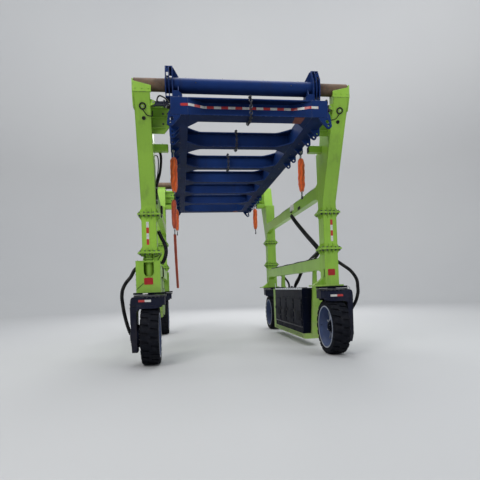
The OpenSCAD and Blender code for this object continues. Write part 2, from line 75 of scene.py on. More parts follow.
# ------------------------------------------------------------------ camera
CAM_AT = Vector((-1.311, -11.883, 1.505))
YAW, PITCH, ROLL = (math.radians(a) for a in (7.976, 1.571, -2.018))
look = Vector((math.sin(YAW) * math.cos(PITCH), math.cos(YAW) * math.cos(PITCH), math.sin(PITCH)))
side = Vector((math.cos(YAW), -math.sin(YAW), 0))
over = side.cross(look)
cam_right = math.cos(ROLL) * side + math.sin(ROLL) * over
cam_up = -math.sin(ROLL) * side + math.cos(ROLL) * over
cam_data = bpy.data.cameras.new("camera")
cam_data.sensor_width = 36
cam_data.lens = 31.66
cam_data.shift_y = 0.075
cam_data.clip_end = 200
cam = bpy.data.objects.new("camera", cam_data)
scene.collection.objects.link(cam)
turn = Matrix((cam_right, cam_up, -look)).transposed()
cam.matrix_world = Matrix.Translation(CAM_AT) @ turn.to_4x4()
scene.camera = cam

# ------------------------------------------------------------------ sizes, as in the construction
AXIS_Y, SLEW_X = 2.990, 1.950
LEG_IN, LEG_OUT, LEG_BACK, LEG_FRONT = 1.772, 2.072, 2.820, 3.140
LOW_Z, HIGH_Z, KINK_Z = 2.281, 3.069, 3.291
TUBE_Y, TUBE_Z = 3.903, 5.375
LEAN_TOP_Z, LEAN_TOP_Y = 5.180, 4.050
LUG_X, LUG_Z, SLING_Y = 1.385, 4.430, 2.930
CYL_Z = 5.020
CORNERS = [(sx, sy) for sx in (-1, 1) for sy in (-1, 1)]
SIDE = {-1: "left", 1: "right"}
END = {-1: "front", 1: "rear"}


def lean_y(z):
    return LEG_FRONT + (z - KINK_Z) / (LEAN_TOP_Z - KINK_Z) * (LEAN_TOP_Y - LEG_FRONT)


def srgb(r, g, b):
    return tuple((c / 255 / 12.92) if c / 255 <= 0.04045 else ((c / 255 + 0.055) / 1.055) ** 2.4 for c in (r, g, b)) + (1.0,)


# ------------------------------------------------------------------ materials
class Nodes:
    def __init__(s, name):
        s.mat = bpy.data.materials.new(name)
        s.mat.use_nodes = True
        s.nt = s.mat.node_tree
        s.nt.nodes.clear()
        s.out = s.new("ShaderNodeOutputMaterial")
        s.bsdf = s.new("ShaderNodeBsdfPrincipled")
        s.nt.links.new(s.bsdf.outputs[0], s.out.inputs[0])
        s.obj = s.new("ShaderNodeTexCoord").outputs["Object"]

    def new(s, kind, **props):
        n = s.nt.nodes.new(kind)
        for k, v in props.items():
            setattr(n, k, v)
        return n

    def put(s, socket, value):
        if isinstance(value, bpy.types.NodeSocket):
            s.nt.links.new(value, socket)
        else:
            socket.default_value = value

    def map(s, scale=(1, 1, 1), rot=(0, 0, 0), vec=None):
        n = s.new("ShaderNodeMapping")
        s.put(n.inputs["Vector"], vec or s.obj)
        n.inputs["Scale"].default_value = scale
        n.inputs["Rotation"].default_value = rot
        return n.outputs[0]

    def noise(s, scale, detail=4.0, rough=0.55, dist=0.0, vec=None):
        n = s.new("ShaderNodeTexNoise")
        s.put(n.inputs["Vector"], vec or s.obj)
        n.inputs["Scale"].default_value = scale
        n.inputs["Detail"].default_value = detail
        n.inputs["Roughness"].default_value = rough
        n.inputs["Distortion"].default_value = dist
        return n.outputs[0]

    def cells(s, scale, vec=None, feature="F1"):
        n = s.new("ShaderNodeTexVoronoi", feature=feature)
        s.put(n.inputs["Vector"], vec or s.obj)
        n.inputs["Scale"].default_value = scale
        return n.outputs[0]

    def ramp(s, fac, *stops):
        n = s.new("ShaderNodeValToRGB")
        s.put(n.inputs[0], fac)
        el = n.color_ramp.elements
        while len(el) < len(stops):
            el.new(0.5)
        for e, (p, c) in zip(el, stops):
            e.position = p
            e.color = c if hasattr(c, "__len__") else (c, c, c, 1)
        return n.outputs[0]

    def mix(s, fac, a, b, mode="MIX"):
        n = s.new("ShaderNodeMix", data_type="RGBA", blend_type=mode)
        s.put(n.inputs[0], fac)
        s.put(n.inputs[6], a)
        s.put(n.inputs[7], b)
        return n.outputs[2]

    def math(s, op, a, b=0.0, clamp=False):
        n = s.new("ShaderNodeMath", operation=op, use_clamp=clamp)
        s.put(n.inputs[0], a)
        s.put(n.inputs[1], b)
        return n.outputs[0]

    def span(s, value, a, b, to_a=0.0, to_b=1.0):
        n = s.new("ShaderNodeMapRange", clamp=True)
        s.put(n.inputs[0], value)
        for i, v in enumerate((a, b, to_a, to_b), 1):
            n.inputs[i].default_value = v
        return n.outputs[0]

    def xyz(s, vec=None):
        n = s.new("ShaderNodeSeparateXYZ")
        s.put(n.inputs[0], vec or s.obj)
        return n.outputs

    def attr(s, name):
        return s.new("ShaderNodeAttribute", attribute_type="GEOMETRY", attribute_name=name).outputs["Fac"]

    def up(s):
        return s.xyz(s.new("ShaderNodeNewGeometry").outputs["Normal"])[2]

    def bump(s, height, dist, strength=1.0, normal=None):
        n = s.new("ShaderNodeBump")
        s.put(n.inputs["Height"], height)
        n.inputs["Distance"].default_value = dist
        n.inputs["Strength"].default_value = strength
        if normal is not None:
            s.put(n.inputs["Normal"], normal)
        return n.outputs[0]

    def done(s, colour, rough, normal=None, metallic=None, **sockets):
        s.put(s.bsdf.inputs["Base Color"], colour)
        s.put(s.bsdf.inputs["Roughness"], rough)
        if metallic is not None:
            s.put(s.bsdf.inputs["Metallic"], metallic)
        if normal is not None:
            s.put(s.bsdf.inputs["Normal"], normal)
        for k, v in sockets.items():
            s.put(s.bsdf.inputs[k.replace("_", " ")], v)
        return s.mat


DUST = srgb(146, 136, 120)
GRIME = srgb(42, 40, 34)
# painted shade colour for faces that look down
UNDERSIDE_SHADE = srgb(8, 12, 22)


def paint(name, base, second, rough=0.36, grime=0.35, dust=0.5, dust_z=1.5, chip=srgb(120, 112, 100), chips=0.55, coat=0.0, seed=0.0, spec=0.5, under=0.0):
    n = Nodes(name)
    z = n.xyz()[2]
    at = n.new("ShaderNodeMapping")
    n.put(at.inputs["Vector"], n.obj)
    at.inputs["Location"].default_value = (seed, seed * 1.7, seed * 0.6)
    at = at.outputs[0]
    tone = n.ramp(n.noise(0.9, 5, vec=at), (0.34, 0), (0.68, 1))
    col = n.mix(tone, base, second)
    # rain streaks run down from edges
    streak = n.noise(1.0, 6, 0.62, vec=n.map((7.0, 7.0, 0.55), vec=at))
    patch = n.noise(1.7, 3, vec=at)
    streak = n.math("MULTIPLY", n.span(streak, 0.50, 0.74), n.span(patch, 0.38, 0.62))
    col = n.mix(n.math("MULTIPLY", streak, grime), col, GRIME)
    # specks and rubbed spots
    specks = n.span(n.noise(95, 3, 0.7, vec=at), 0.64, 0.72)
    col = n.mix(n.math("MULTIPLY", specks, grime * 0.8), col, GRIME)
    # dust settles low down and on faces that look up
    low = n.span(z, dust_z, 0.1)
    cloud = n.span(n.noise(4.5, 6, 0.65, vec=at), 0.30, 0.72)
    lie = n.math("MULTIPLY", n.span(n.up(), 0.45, 0.95), 0.45)
    dirt = n.math("MULTIPLY", n.math("ADD", low, lie, clamp=True), cloud)
    col = n.mix(n.math("MULTIPLY", dirt, dust), col, DUST)
    if under:
        # painted shade: faces that look down are mixed towards a near-black blue, standing in for the shade under the
        # frame; their specular level and roughness change too
        underside_shade = n.math("MULTIPLY", n.span(n.up(), -0.5, -0.95), n.span(cloud, 0.0, 1.0, under * 1.15, under * 0.85))
        col = n.mix(underside_shade, col, UNDERSIDE_SHADE)
        spec = n.span(n.up(), -0.3, -0.9, spec, 0.05)
        rough = n.span(n.up(), -0.3, -0.9, rough - 0.08, 0.50)
    else:
        rough -= 0.08
    # paint rubbed off the edges, and a few chips anywhere
    edge = n.math("MULTIPLY", n.attr("wear"), n.span(n.noise(21, 5, 0.7, vec=at), 0.50, 0.60))
    pits = n.math("MULTIPLY", n.span(n.noise(30, 6, 0.75, vec=at), 0.715, 0.73), 0.8)
    bare = n.math("MULTIPLY", n.math("MAXIMUM", edge, pits), chips)
    col = n.mix(bare, col, chip)
    r = n.math("ADD", n.math("MULTIPLY", n.noise(2.6, 5, vec=at), 0.16), rough)
    r = n.math("ADD", r, n.math("MULTIPLY", n.math("MAXIMUM", dirt, bare), 0.34), clamp=True)
    wavy = n.bump(n.noise(3.2, 2, vec=at), 0.010, 0.16)
    peel = n.bump(n.noise(260, 2, vec=at), 0.0009, 0.22, wavy)
    nor = n.bump(n.math("MULTIPLY", bare, -1.0), 0.0012, 0.7, peel)
    kw = {"Coat_Weight": coat, "Coat_Roughness": 0.12} if coat else {"Specular_IOR_Level": spec}
    return n.done(col, r, nor, **kw)


GREEN = paint("lime_paint", srgb(146, 192, 62), srgb(136, 181, 56), rough=0.36, grime=0.34, dust=0.55, chip=srgb(96, 104, 78))
GREEN_LOW = paint("lime_paint_low", srgb(140, 186, 60), srgb(128, 170, 56), rough=0.42, grime=0.45, dust=0.75, dust_z=1.9, chip=srgb(92, 96, 74), seed=4.0)
NAVY = paint("frame_blue_paint", srgb(25, 53, 110), srgb(17, 39, 86), rough=0.38, grime=0.4, dust=0.22, dust_z=0.2, chip=srgb(92, 100, 122), seed=9.0, spec=0.12, under=0.5)
FORK = paint("fork_dark_paint", srgb(22, 28, 50), srgb(15, 20, 39), rough=0.42, grime=0.4, dust=0.13, dust_z=1.7, chip=srgb(98, 94, 90), seed=14.0, spec=0.12)
BLACK = paint("black_paint", srgb(11, 16, 32), srgb(7, 10, 22), rough=0.4, grime=0.3, dust=0.0, dust_z=1.3, chip=srgb(88, 86, 82), seed=21.0, spec=0.03)
RIM = paint("rim_grey_paint", srgb(80, 97, 138), srgb(54, 68, 104), rough=0.42, grime=0.6, dust=0.15, dust_z=1.4, chip=srgb(140, 140, 142), seed=25.0, spec=0.25)
RIM_EDGE = paint("rim_edge_paint", srgb(168, 176, 190), srgb(146, 154, 170), rough=0.4, grime=0.6, dust=0.5, dust_z=1.4, chip=srgb(90, 80, 70), seed=31.0)
CYL = paint("cylinder_paint", srgb(26, 34, 62), srgb(20, 27, 50), rough=0.26, grime=0.3, dust=0.3, dust_z=0.2, coat=0.3, seed=35.0)


def rusty():
    n = Nodes("rusty_steel")
    big = n.noise(2.2, 6, 0.65)
    fine = n.noise(26, 6, 0.7)
    col = n.ramp(big, (0.28, srgb(54, 46, 46)), (0.44, srgb(90, 74, 62)), (0.56, srgb(112, 94, 76)), (0.72, srgb(108, 72, 46)))
    col = n.mix(n.math("MULTIPLY", n.span(fine, 0.5, 0.72), 0.7), col, srgb(126, 72, 42))
    col = n.mix(n.math("MULTIPLY", n.span(n.noise(60, 4, 0.7), 0.58, 0.7), 0.6), col, srgb(52, 42, 38))
    r = n.span(fine, 0.3, 0.7, 0.48, 0.86)
    met = n.span(n.math("MULTIPLY", big, fine), 0.34, 0.18, 0.0, 0.55)
    nor = n.bump(n.noise(70, 5, 0.7), 0.002, 0.5, n.bump(big, 0.004, 0.3))
    return n.done(col, r, nor, met)


def steel(name, base, dark, rough=0.34, metal=0.9, rust=0.15):
    n = Nodes(name)
    a = n.noise(9, 5, 0.6)
    col = n.mix(n.span(a, 0.35, 0.65), base, dark)
    spots = n.math("MULTIPLY", n.span(n.noise(34, 5, 0.72), 0.58, 0.66), rust)
    col = n.mix(spots, col, srgb(118, 70, 42))
    r = n.math("ADD", n.math("MULTIPLY", a, 0.3), rough - 0.12)
    met = n.math("SUBTRACT", metal, n.math("MULTIPLY", spots, 0.8), clamp=True)
    nor = n.bump(n.noise(120, 3), 0.0008, 0.35)
    return n.done(col, r, nor, met)


def chrome():
    n = Nodes("rod_chrome")
    film = n.noise(4, 4, 0.6)
    ring = n.noise(1, 3, vec=n.map((160, 3, 3)))
    col = n.mix(n.span(film, 0.4, 0.7), srgb(214, 216, 220), srgb(178, 180, 186))
    r = n.math("ADD", n.math("MULTIPLY", ring, 0.08), n.math("MULTIPLY", n.span(film, 0.5, 0.7), 0.16))
    return n.done(col, r, n.bump(ring, 0.0002, 0.3), Metallic=1.0)


def rubber(name, base, grey, rough=0.62, dusty=0.5, fine=90):
    n = Nodes(name)
    a = n.noise(7, 6, 0.68)
    b = n.noise(fine, 4, 0.65)
    col = n.mix(n.span(a, 0.35, 0.7), base, grey)
    w = n.attr("wear")
    dirt = n.math("MULTIPLY", n.span(n.math("ADD", a, n.math("MULTIPLY", w, 0.12)), 0.46, 0.72), dusty)
    col = n.mix(dirt, col, srgb(120, 112, 102))
    r = n.math("ADD", n.math("MULTIPLY", b, 0.16), n.math("ADD", n.math("MULTIPLY", dirt, 0.2), rough - 0.08), clamp=True)
    nor = n.bump(b, 0.0012, 0.4, n.bump(n.noise(18, 4), 0.003, 0.2))
    return n.done(col, r, nor, Specular_IOR_Level=0.14)


def fabric(name, light, dark, thread):
    n = Nodes(name)
    u, v = n.attr("u"), n.attr("v")
    # ribbed woven cover: fine ribs along, and cross threads
    rib = n.math("SINE", n.math("MULTIPLY", v, 1500.0))
    pick = n.math("SINE", n.math("MULTIPLY", u, 1100.0))
    weave = n.math("MULTIPLY", rib, pick)
    a = n.noise(5, 5, 0.6)
    b = n.noise(40, 4, 0.6)
    col = n.mix(n.span(a, 0.35, 0.7), light, dark)
    col = n.mix(n.math("MULTIPLY", n.span(weave, -0.2, -0.9), 0.45), col, thread)
    # painted shade: where the cross-section is drawn in from round (the grooves between the ropes, the strap's flat
    # faces) the colour goes towards dark red
    fold = n.attr("fold")
    col = n.mix(n.math("MULTIPLY", fold, 0.75), col, srgb(96, 26, 10))
    soot = n.math("MULTIPLY", n.span(n.noise(11, 6, 0.7), 0.52, 0.74), 0.5)
    col = n.mix(soot, col, srgb(92, 60, 44))
    r = n.math("ADD", n.math("MULTIPLY", b, 0.15), 0.74)
    nor = n.bump(weave, 0.0012, 0.55, n.bump(b, 0.004, 0.35))
    return n.done(col, r, nor, Sheen_Weight=0.35, Sheen_Roughness=0.5)


def tape():
    n = Nodes("reflector_tape")
    part = n.math("FRACT", n.math("MULTIPLY", n.attr("u"), 1.0))
    red = n.math("LESS_THAN", part, 0.5)
    prism = n.cells(260)
    a = n.noise(14, 5, 0.65)
    col = n.mix(red, srgb(214, 214, 210), srgb(188, 26, 26))
    col = n.mix(n.math("MULTIPLY", n.span(prism, 0.2, 0.6), 0.18), col, srgb(120, 110, 108))
    col = n.mix(n.math("MULTIPLY", n.span(a, 0.5, 0.75), 0.45), col, srgb(96, 90, 84))
    r = n.math("ADD", n.math("MULTIPLY", a, 0.25), 0.2)
    return n.done(col, r, n.bump(prism, 0.0006, 0.4))


def plate(name, base, second, rough=0.35):
    n = Nodes(name)
    a = n.noise(10, 6, 0.65)
    col = n.mix(n.span(a, 0.35, 0.7), base, second)
    col = n.mix(n.math("MULTIPLY", n.span(n.noise(42, 5, 0.7), 0.56, 0.7), 0.4), col, srgb(90, 84, 78))
    r = n.math("ADD", n.math("MULTIPLY", a, 0.25), rough - 0.1)
    return n.done(col, r, n.bump(n.noise(150, 2), 0.0005, 0.3))


def lens():
    n = Nodes("lamp_lens")
    ribs = n.math("SINE", n.math("MULTIPLY", n.xyz()[0], 700.0))
    a = n.noise(20, 3)
    col = n.mix(n.span(a, 0.3, 0.7), srgb(226, 230, 232), srgb(188, 194, 198))
    return n.done(col, n.math("ADD", n.math("MULTIPLY", a, 0.12), 0.08), n.bump(ribs, 0.001, 0.5), Coat_Weight=0.8, Coat_Roughness=0.05)


RUST = rusty()
ZINC = steel("zinc_steel", srgb(176, 178, 180), srgb(140, 142, 146), rust=0.25)
CHAIN = steel("chain_steel", srgb(72, 74, 80), srgb(40, 42, 48), rough=0.46, metal=0.7, rust=0.4)
BOLT = steel("bolt_steel", srgb(92, 94, 98), srgb(58, 60, 64), rough=0.4, metal=0.75, rust=0.35)
BARE = steel("brushed_strip", srgb(232, 235, 240), srgb(204, 208, 216), rough=0.3, metal=0.35, rust=0.04)
CHROME = chrome()
TYRE = rubber("tyre_rubber", srgb(9, 12, 20), srgb(15, 18, 28), rough=0.8, dusty=0.05, fine=60)
HOSE = rubber("hose_rubber", srgb(12, 13, 17), srgb(21, 22, 27), rough=0.46, dusty=0.14)
PLASTIC = rubber("black_plastic", srgb(22, 23, 26), srgb(34, 35, 38), rough=0.46, dusty=0.35, fine=140)
FABRIC = fabric("sling_fabric", srgb(255, 116, 42), srgb(250, 100, 32), srgb(206, 72, 22))
# painted shade: a darker copy of the sling fabric for the lower sling and its strap, which hang in shade
FABRIC_SHADED = fabric("sling_fabric_old", srgb(196, 78, 34), srgb(160, 58, 26), srgb(96, 34, 14))
TAPE = tape()
SIGN_RED = plate("sign_red", srgb(166, 24, 26), srgb(142, 19, 21))
LABEL = plate("label_white", srgb(226, 226, 220), srgb(204, 204, 196))
RED_UNDER_PATCH = plate("primer_red", srgb(104, 40, 33), srgb(84, 33, 28), rough=0.7)
LENS = lens()


# ------------------------------------------------------------------ mesh building
def spline(points, n):
    """Points of a smooth curve through the given ones, n to a stretch."""
    p = [Vector(q) for q in points]
    out = []
    for i in range(len(p) - 1):
        a, b, c, d = p[max(i - 1, 0)], p[i], p[i + 1], p[min(i + 2, len(p) - 1)]
        for k in range(n):
            t = k / n
            out.append(0.5 * ((2 * b) + (c - a) * t + (2 * a - 5 * b + 4 * c - d) * t * t + (3 * b - a - 3 * c + d) * t ** 3))
    out.append(p[-1].copy())
    return out


def frames(path, closed=False):
    """Tangent and two cross directions at each point, turned as little as possible."""
    n = len(path)
    tan = []
    for i in range(n):
        a = path[(i - 1) % n] if closed or i else path[0]
        b = path[(i + 1) % n] if closed or i < n - 1 else path[-1]
        tan.append((b - a).normalized())
    ref = Vector((0, 0, 1)) if abs(tan[0].z) < 0.9 else Vector((0, 1, 0))
    u = tan[0].cross(ref).normalized()
    res = []
    for i in range(n):
        if i:
            u = (u - tan[i] * u.dot(tan[i]))
            u = u.normalized() if u.length > 1e-6 else tan[i].orthogonal().normalized()
        res.append((tan[i], u, tan[i].cross(u)))
    return res


class Build:
    """Collects closed shapes into one mesh."""

    def __init__(s):
        s.v, s.f, s.m, s.smooth, s.u, s.w, s.fold, s.nob = [], [], [], [], [], [], [], []
        s.flip = (1, 1)

    def add(s, verts, faces, m=0, smooth=False, u=None, w=None, fold=None, nob=False):
        k = len(s.v)
        fx, fy = s.flip
        s.v += [Vector((fx * v[0], fy * v[1], v[2])) for v in verts]
        s.f += [[k + i for i in (f if fx * fy > 0 else list(f)[::-1])] for f in faces]
        s.m += [m] * len(faces)
        s.smooth += [smooth] * len(faces)
        s.nob += [nob] * len(faces)
        s.u += list(u) if u is not None else [0.0] * len(verts)
        s.w += list(w) if w is not None else [0.0] * len(verts)
        s.fold += list(fold) if fold is not None else [0.0] * len(verts)
        return k

    def box(s, lo, hi, m=0, at=None, nob=False):
        lo, hi = [min(a, b) for a, b in zip(lo, hi)], [max(a, b) for a, b in zip(lo, hi)]
        v = [Vector((x, y, z)) for z in (lo[2], hi[2]) for y in (lo[1], hi[1]) for x in (lo[0], hi[0])]
        if at is not None:
            v = [at @ p for p in v]
        s.add(v, [(0, 2, 3, 1), (4, 5, 7, 6), (0, 1, 5, 4), (2, 6, 7, 3), (0, 4, 6, 2), (1, 3, 7, 5)], m, nob=nob)

    def prism(s, outline, direction, m=0, smooth=False, nob=False, u=None):
        """A flat outline of points in space, pushed along a direction."""
        o = [Vector(p) for p in outline]
        d = Vector(direction)
        n = len(o)
        area = Vector((0, 0, 0))
        for i in range(n):
            area += o[i].cross(o[(i + 1) % n])
        if area.dot(d) > 0:
            o.reverse()
            if u is not None:
                u = list(reversed(u))
        uu = None if u is None else list(u) + list(u)
        s.add(o + [p + d for p in o], [list(range(n)), list(range(2 * n - 1, n - 1, -1))] + [
            (i, i + n, (i + 1) % n + n, (i + 1) % n) for i in range(n)], m, smooth, nob=nob, u=uu)

    def tube(s, path, r, n=8, m=0, closed=False, flat=1.0, w=None, twist=0.0, shape=None, caps=True, wear=None):
        """A round tube along a path. r is a number or a list; shape(angle, i) scales the radius."""
        path = [Vector(p) for p in path]
        fr = frames(path, closed)
        count = len(path)
        dist = [0.0]
        for i in range(1, count):
            dist.append(dist[-1] + (path[i] - path[i - 1]).length)
        verts, uu, ww, inset_shade_w = [], [], [], []
        for i, (t, a, b) in enumerate(fr):
            ri = r[i] if hasattr(r, "__len__") else r
            for k in range(n):
                ang = 2 * math.pi * k / n + twist * dist[i]
                q = shape(2 * math.pi * k / n, i) if shape else 1.0
                verts.append(path[i] + ri * q * (math.cos(ang) * a + flat * math.sin(ang) * b))
                uu.append(dist[i])
                ww.append(2 * math.pi * k / n * 0.06 if w is None else w)
                # painted shade weight: how far the shape draws the radius in
                inset_shade_w.append(max(0.0, min(1.0, (1.0 - q) * 3.2)) if shape else 0.0)
        faces = []
        for i in range(count if closed else count - 1):
            j = (i + 1) % count
            for k in range(n):
                l = (k + 1) % n
                faces.append((i * n + k, j * n + k, j * n + l, i * n + l))
        start = s.add(verts, faces, m, True, u=uu, w=ww, fold=inset_shade_w, nob=True)
        if not closed and caps:
            turned = 1 if s.flip[0] * s.flip[1] > 0 else -1
            s.f += [[start + k for k in range(n)][::turned], [start + (count - 1) * n + k for k in range(n - 1, -1, -1)][::turned]]
            s.m += [m, m]
            s.smooth += [False, False]
            s.nob += [True, True]

    def turn(s, profile, centre, axis, n=32, m=0, smooth=True, closed=True, nob=True, start=0.0):
        """A profile of (along, radius) points turned about an axis; closed joins its ends. A radius of 0 ends in a fan."""
        axis = Vector(axis).normalized()
        a = axis.orthogonal().normalized()
        b = axis.cross(a)
        c = Vector(centre)
        verts, rows = [], []
        for h, r in profile:
            if r < 1e-9:
                rows.append([len(verts)] * n)
                verts.append(c + axis * h)
            else:
                rows.append(list(range(len(verts), len(verts) + n)))
                for k in range(n):
                    t = 2 * math.pi * k / n + start
                    verts.append(c + axis * h + r * (math.cos(t) * a + math.sin(t) * b))
        faces = []
        last = len(profile) if closed else len(profile) - 1
        for i in range(last):
            p, q = rows[i], rows[(i + 1) % len(profile)]
            for k in range(n):
                l = (k + 1) % n
                f = []
                for x in (p[k], p[l], q[l], q[k]):
                    if x not in f:
                        f.append(x)
                if len(f) > 2:
                    faces.append(f)
        s.add(verts, faces, m, smooth, nob=nob)

    def disc_stack(s, centre, axis, steps, n=24, m=0):
        """A closed turned solid from (along, radius) steps, with ends closed by fans."""
        s.turn([(steps[0][0], 0)] + list(steps) + [(steps[-1][0], 0)], centre, axis, n, m, closed=False)

    def bolt(s, at, direction, d=0.036, h=0.016, m=0, washer=True, tip=0.0, spin=0.0):
        """A hexagon head on its washer, pointing along a direction; tip adds the thread end of a nut."""
        base = 0.0
        at, direction = Vector(at), Vector(direction)
        if washer:
            s.turn([(-0.001, 0), (-0.001, d * 0.66), (0.004, d * 0.66), (0.004, 0)], at, direction, 12, m, False, closed=False)
            base = 0.0035
        r = d / math.sqrt(3)
        s.turn([(base - 0.001, 0), (base - 0.001, r), (base + h * 0.86, r), (base + h, r * 0.84), (base + h, 0)], at, direction, 6, m, False, closed=False, start=spin)
        if tip:
            s.turn([(base + h - 0.001, 0), (base + h - 0.001, r * 0.48), (base + h + tip * 0.8, r * 0.48), (base + h + tip, r * 0.38), (base + h + tip, 0)],
                   at, direction, 8, m, True, closed=False)

    def bead(s, path, r=0.005, m=0, closed=False, step=0.03):
        """An uneven weld bead."""
        pts = [Vector(p) for p in path]
        if closed:
            pts.append(pts[0])
        dense = []
        for a, b in zip(pts, pts[1:]):
            k = max(1, int((b - a).length / step))
            dense += [a.lerp(b, i / k) for i in range(k)]
        if not closed:
            dense.append(pts[-1])
        rr = [r * (1 + 0.22 * noise.noise(p * 37)) for p in dense]
        s.tube(dense, rr, 6, m, closed=closed)

    def object(s, name, body, mats, bevel=0.0, segments=2, angle=34, replaces=(), ride=True):
        me = bpy.data.meshes.new(name)
        me.from_pydata([tuple(v) for v in s.v], [], s.f)
        for mt in mats:
            me.materials.append(mt)
        me.polygons.foreach_set("material_index", s.m)
        me.polygons.foreach_set("use_smooth", s.smooth)
        for key, vals in (("u", s.u), ("v", s.w), ("fold", s.fold)):
            if any(vals):
                at = me.attributes.new(key, "FLOAT", "POINT")
                at.data.foreach_set("value", vals)
        if bevel:
            at = me.attributes.new("nob", "FLOAT", "FACE")
            at.data.foreach_set("value", [1.0 if x else 0.0 for x in s.nob])
        me.validate()
        me.update()
        ob = bpy.data.objects.new(name, me)
        scene.collection.objects.link(ob)
        if bevel:
            soften(me, bevel, segments, angle)
        shade(me)
        if ride:
            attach(ob, body)
        if replaces:
            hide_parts(*replaces)
        return ob


def soften(me, width, segments=2, angle=34, mark=True):
    """Rounds the mesh's edges and marks the new faces as worn."""
    bm = bmesh.new()
    bm.from_mesh(me)
    skip = bm.faces.layers.float.get("nob")
    wear = bm.faces.layers.float.get("wear") or bm.faces.layers.float.new("wear")
    skip = bm.faces.layers.float.get("nob")
    lim = math.radians(angle)
    edges = [e for e in bm.edges if len(e.link_faces) == 2 and e.calc_face_angle(0) > lim
             and not (skip and (e.link_faces[0][skip] > 0.5 or e.link_faces[1][skip] > 0.5))]
    if edges:
        r = bmesh.ops.bevel(bm, geom=edges, offset=width, offset_type="OFFSET", segments=segments, profile=0.5,
                            affect="EDGES", clamp_overlap=False, material=-1, loop_slide=True)
        if mark:
            for f in r["faces"]:
                if f.is_valid:
                    f[wear] = 1.0
                    f.smooth = True
    bm.normal_update()
    bm.to_mesh(me)
    bm.free()
    at = me.attributes.get("nob")
    if at:
        me.attributes.remove(at)


def shade(me, angle=38):
    me.polygons.foreach_set("use_smooth", [True] * len(me.polygons))
    me.set_sharp_from_angle(angle=math.radians(angle))
    me.update()


def weighted(ob):
    m = ob.modifiers.new("normals", "WEIGHTED_NORMAL")
    m.keep_sharp = True
    m.weight = 50


USED = set()


def refine(node, mat, width=0.006, segments=2, body=None, name=None, angle=34):
    """The CAD node's own shape with rounded, worn edges and its paint."""
    src = frame["nodes"][node]
    me = src.data.copy()
    me.name = (name or node) + "_shape"
    me.materials.clear()
    me.materials.append(mat)
    bm = bmesh.new()
    bm.from_mesh(me)
    bmesh.ops.remove_doubles(bm, verts=bm.verts, dist=3e-5)
    bmesh.ops.dissolve_limit(bm, angle_limit=math.radians(0.6), verts=bm.verts, edges=bm.edges, use_dissolve_boundaries=False)
    for f in bm.faces:
        f.material_index = 0
    bm.normal_update()
    bm.to_mesh(me)
    bm.free()
    for a in [a.name for a in me.attributes if a.name.startswith("custom_normal")]:
        me.attributes.remove(me.attributes[a])
    if width:
        soften(me, width, segments, angle)
    shade(me)
    ob = bpy.data.objects.new(name or node + "_painted", me)
    scene.collection.objects.link(ob)
    weighted(ob)
    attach(ob, body or src["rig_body"])
    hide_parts(node)
    USED.add(node)
    return ob


def mirrored(sx, sy, p):
    return Vector((sx * p[0], sy * p[1], p[2]))


# ------------------------------------------------------------------ free cords first: slings
SLING_ROUTE = [(1.385, -2.930, 4.298), (1.390, -2.930, 4.150), (1.385, -2.930, 3.950), (1.389, -2.930, 3.750), (1.385, -2.930, 3.566)]
LOWER_ROUTE = [(-1.405, -2.930, 3.402), (-1.413, -2.930, 3.200), (-1.411, -2.930, 3.000), (-1.407, -2.930, 2.790)]
TAIL_ROUTE = [(-1.407, -2.930, 2.670), (-1.405, -2.930, 2.500), (-1.399, -2.930, 2.200), (-1.389, -2.930, 1.850), (-1.379, -2.930, 1.540)]


def length_of(path):
    return sum((b - a).length for a, b in zip(path, path[1:]))


def bundle(b, path, radius, phase, m=0):
    """A round sling folded several times on itself: ropes of covered yarn lie side by side in one bundle."""
    n = len(path) - 1

    def lobes(ang, i):
        return 0.78 + 0.22 * abs(math.cos(2.5 * ang + 0.5 * math.sin(i * 0.55 + phase)))

    rr = []
    for i in range(n + 1):
        t = i / n
        end = min(1.0, 0.50 + 0.50 * (min(t / 0.16, 1.0)) ** 0.7, 0.46 + 0.54 * (min((1 - t) / 0.22, 1.0)) ** 0.7)
        rr.append(radius * end * (1 + 0.04 * math.sin(i * 1.1 + phase)))
    b.tube(path, rr, 34, m, twist=1.5, shape=lobes)


def sling(sx, sy):
    path = [mirrored(sx, -sy, p) for p in spline(SLING_ROUTE, 8)]
    name = f"{END[sy]}_{SIDE[sx]}_sling"
    b = Build()
    bundle(b, path, 0.0765, sx + 2 * sy)
    ob = b.object(name + "_bundle", "top_frame", [FABRIC], replaces=(name,))
    USED.add(name)
    hook(sx, sy)
    return ob


def lower_sling():
    path = spline(LOWER_ROUTE, 9)
    b = Build()
    bundle(b, path, 0.054, 1.9)
    ob = b.object("front_left_lower_sling_bundle", "top_frame", [FABRIC_SHADED], replaces=("front_left_lower_sling",))
    USED.add("front_left_lower_sling")
    small_hook()


def sling_tail():
    """A flat woven strap, thicker at its sewn loop above and at its doubled, stitched end below."""
    path = spline(TAIL_ROUTE, 10)
    b = Build()
    n = len(path) - 1

    def strap(ang, i):
        t = i / n
        thin = 0.62 if t < 0.10 or t > 0.90 else 0.40
        c, q = math.cos(ang), math.sin(ang)
        return 1.0 / math.sqrt(c * c + (q / thin) ** 2)

    b.tube(path, [0.0300 * (0.97 + 0.03 * math.sin(i * 0.9)) for i in range(n + 1)], 20, 0, twist=0.5, shape=strap)
    ob = b.object("front_left_sling_tail_strap", "top_frame", [FABRIC_SHADED], replaces=("front_left_sling_tail",))
    USED.add("front_left_sling_tail")


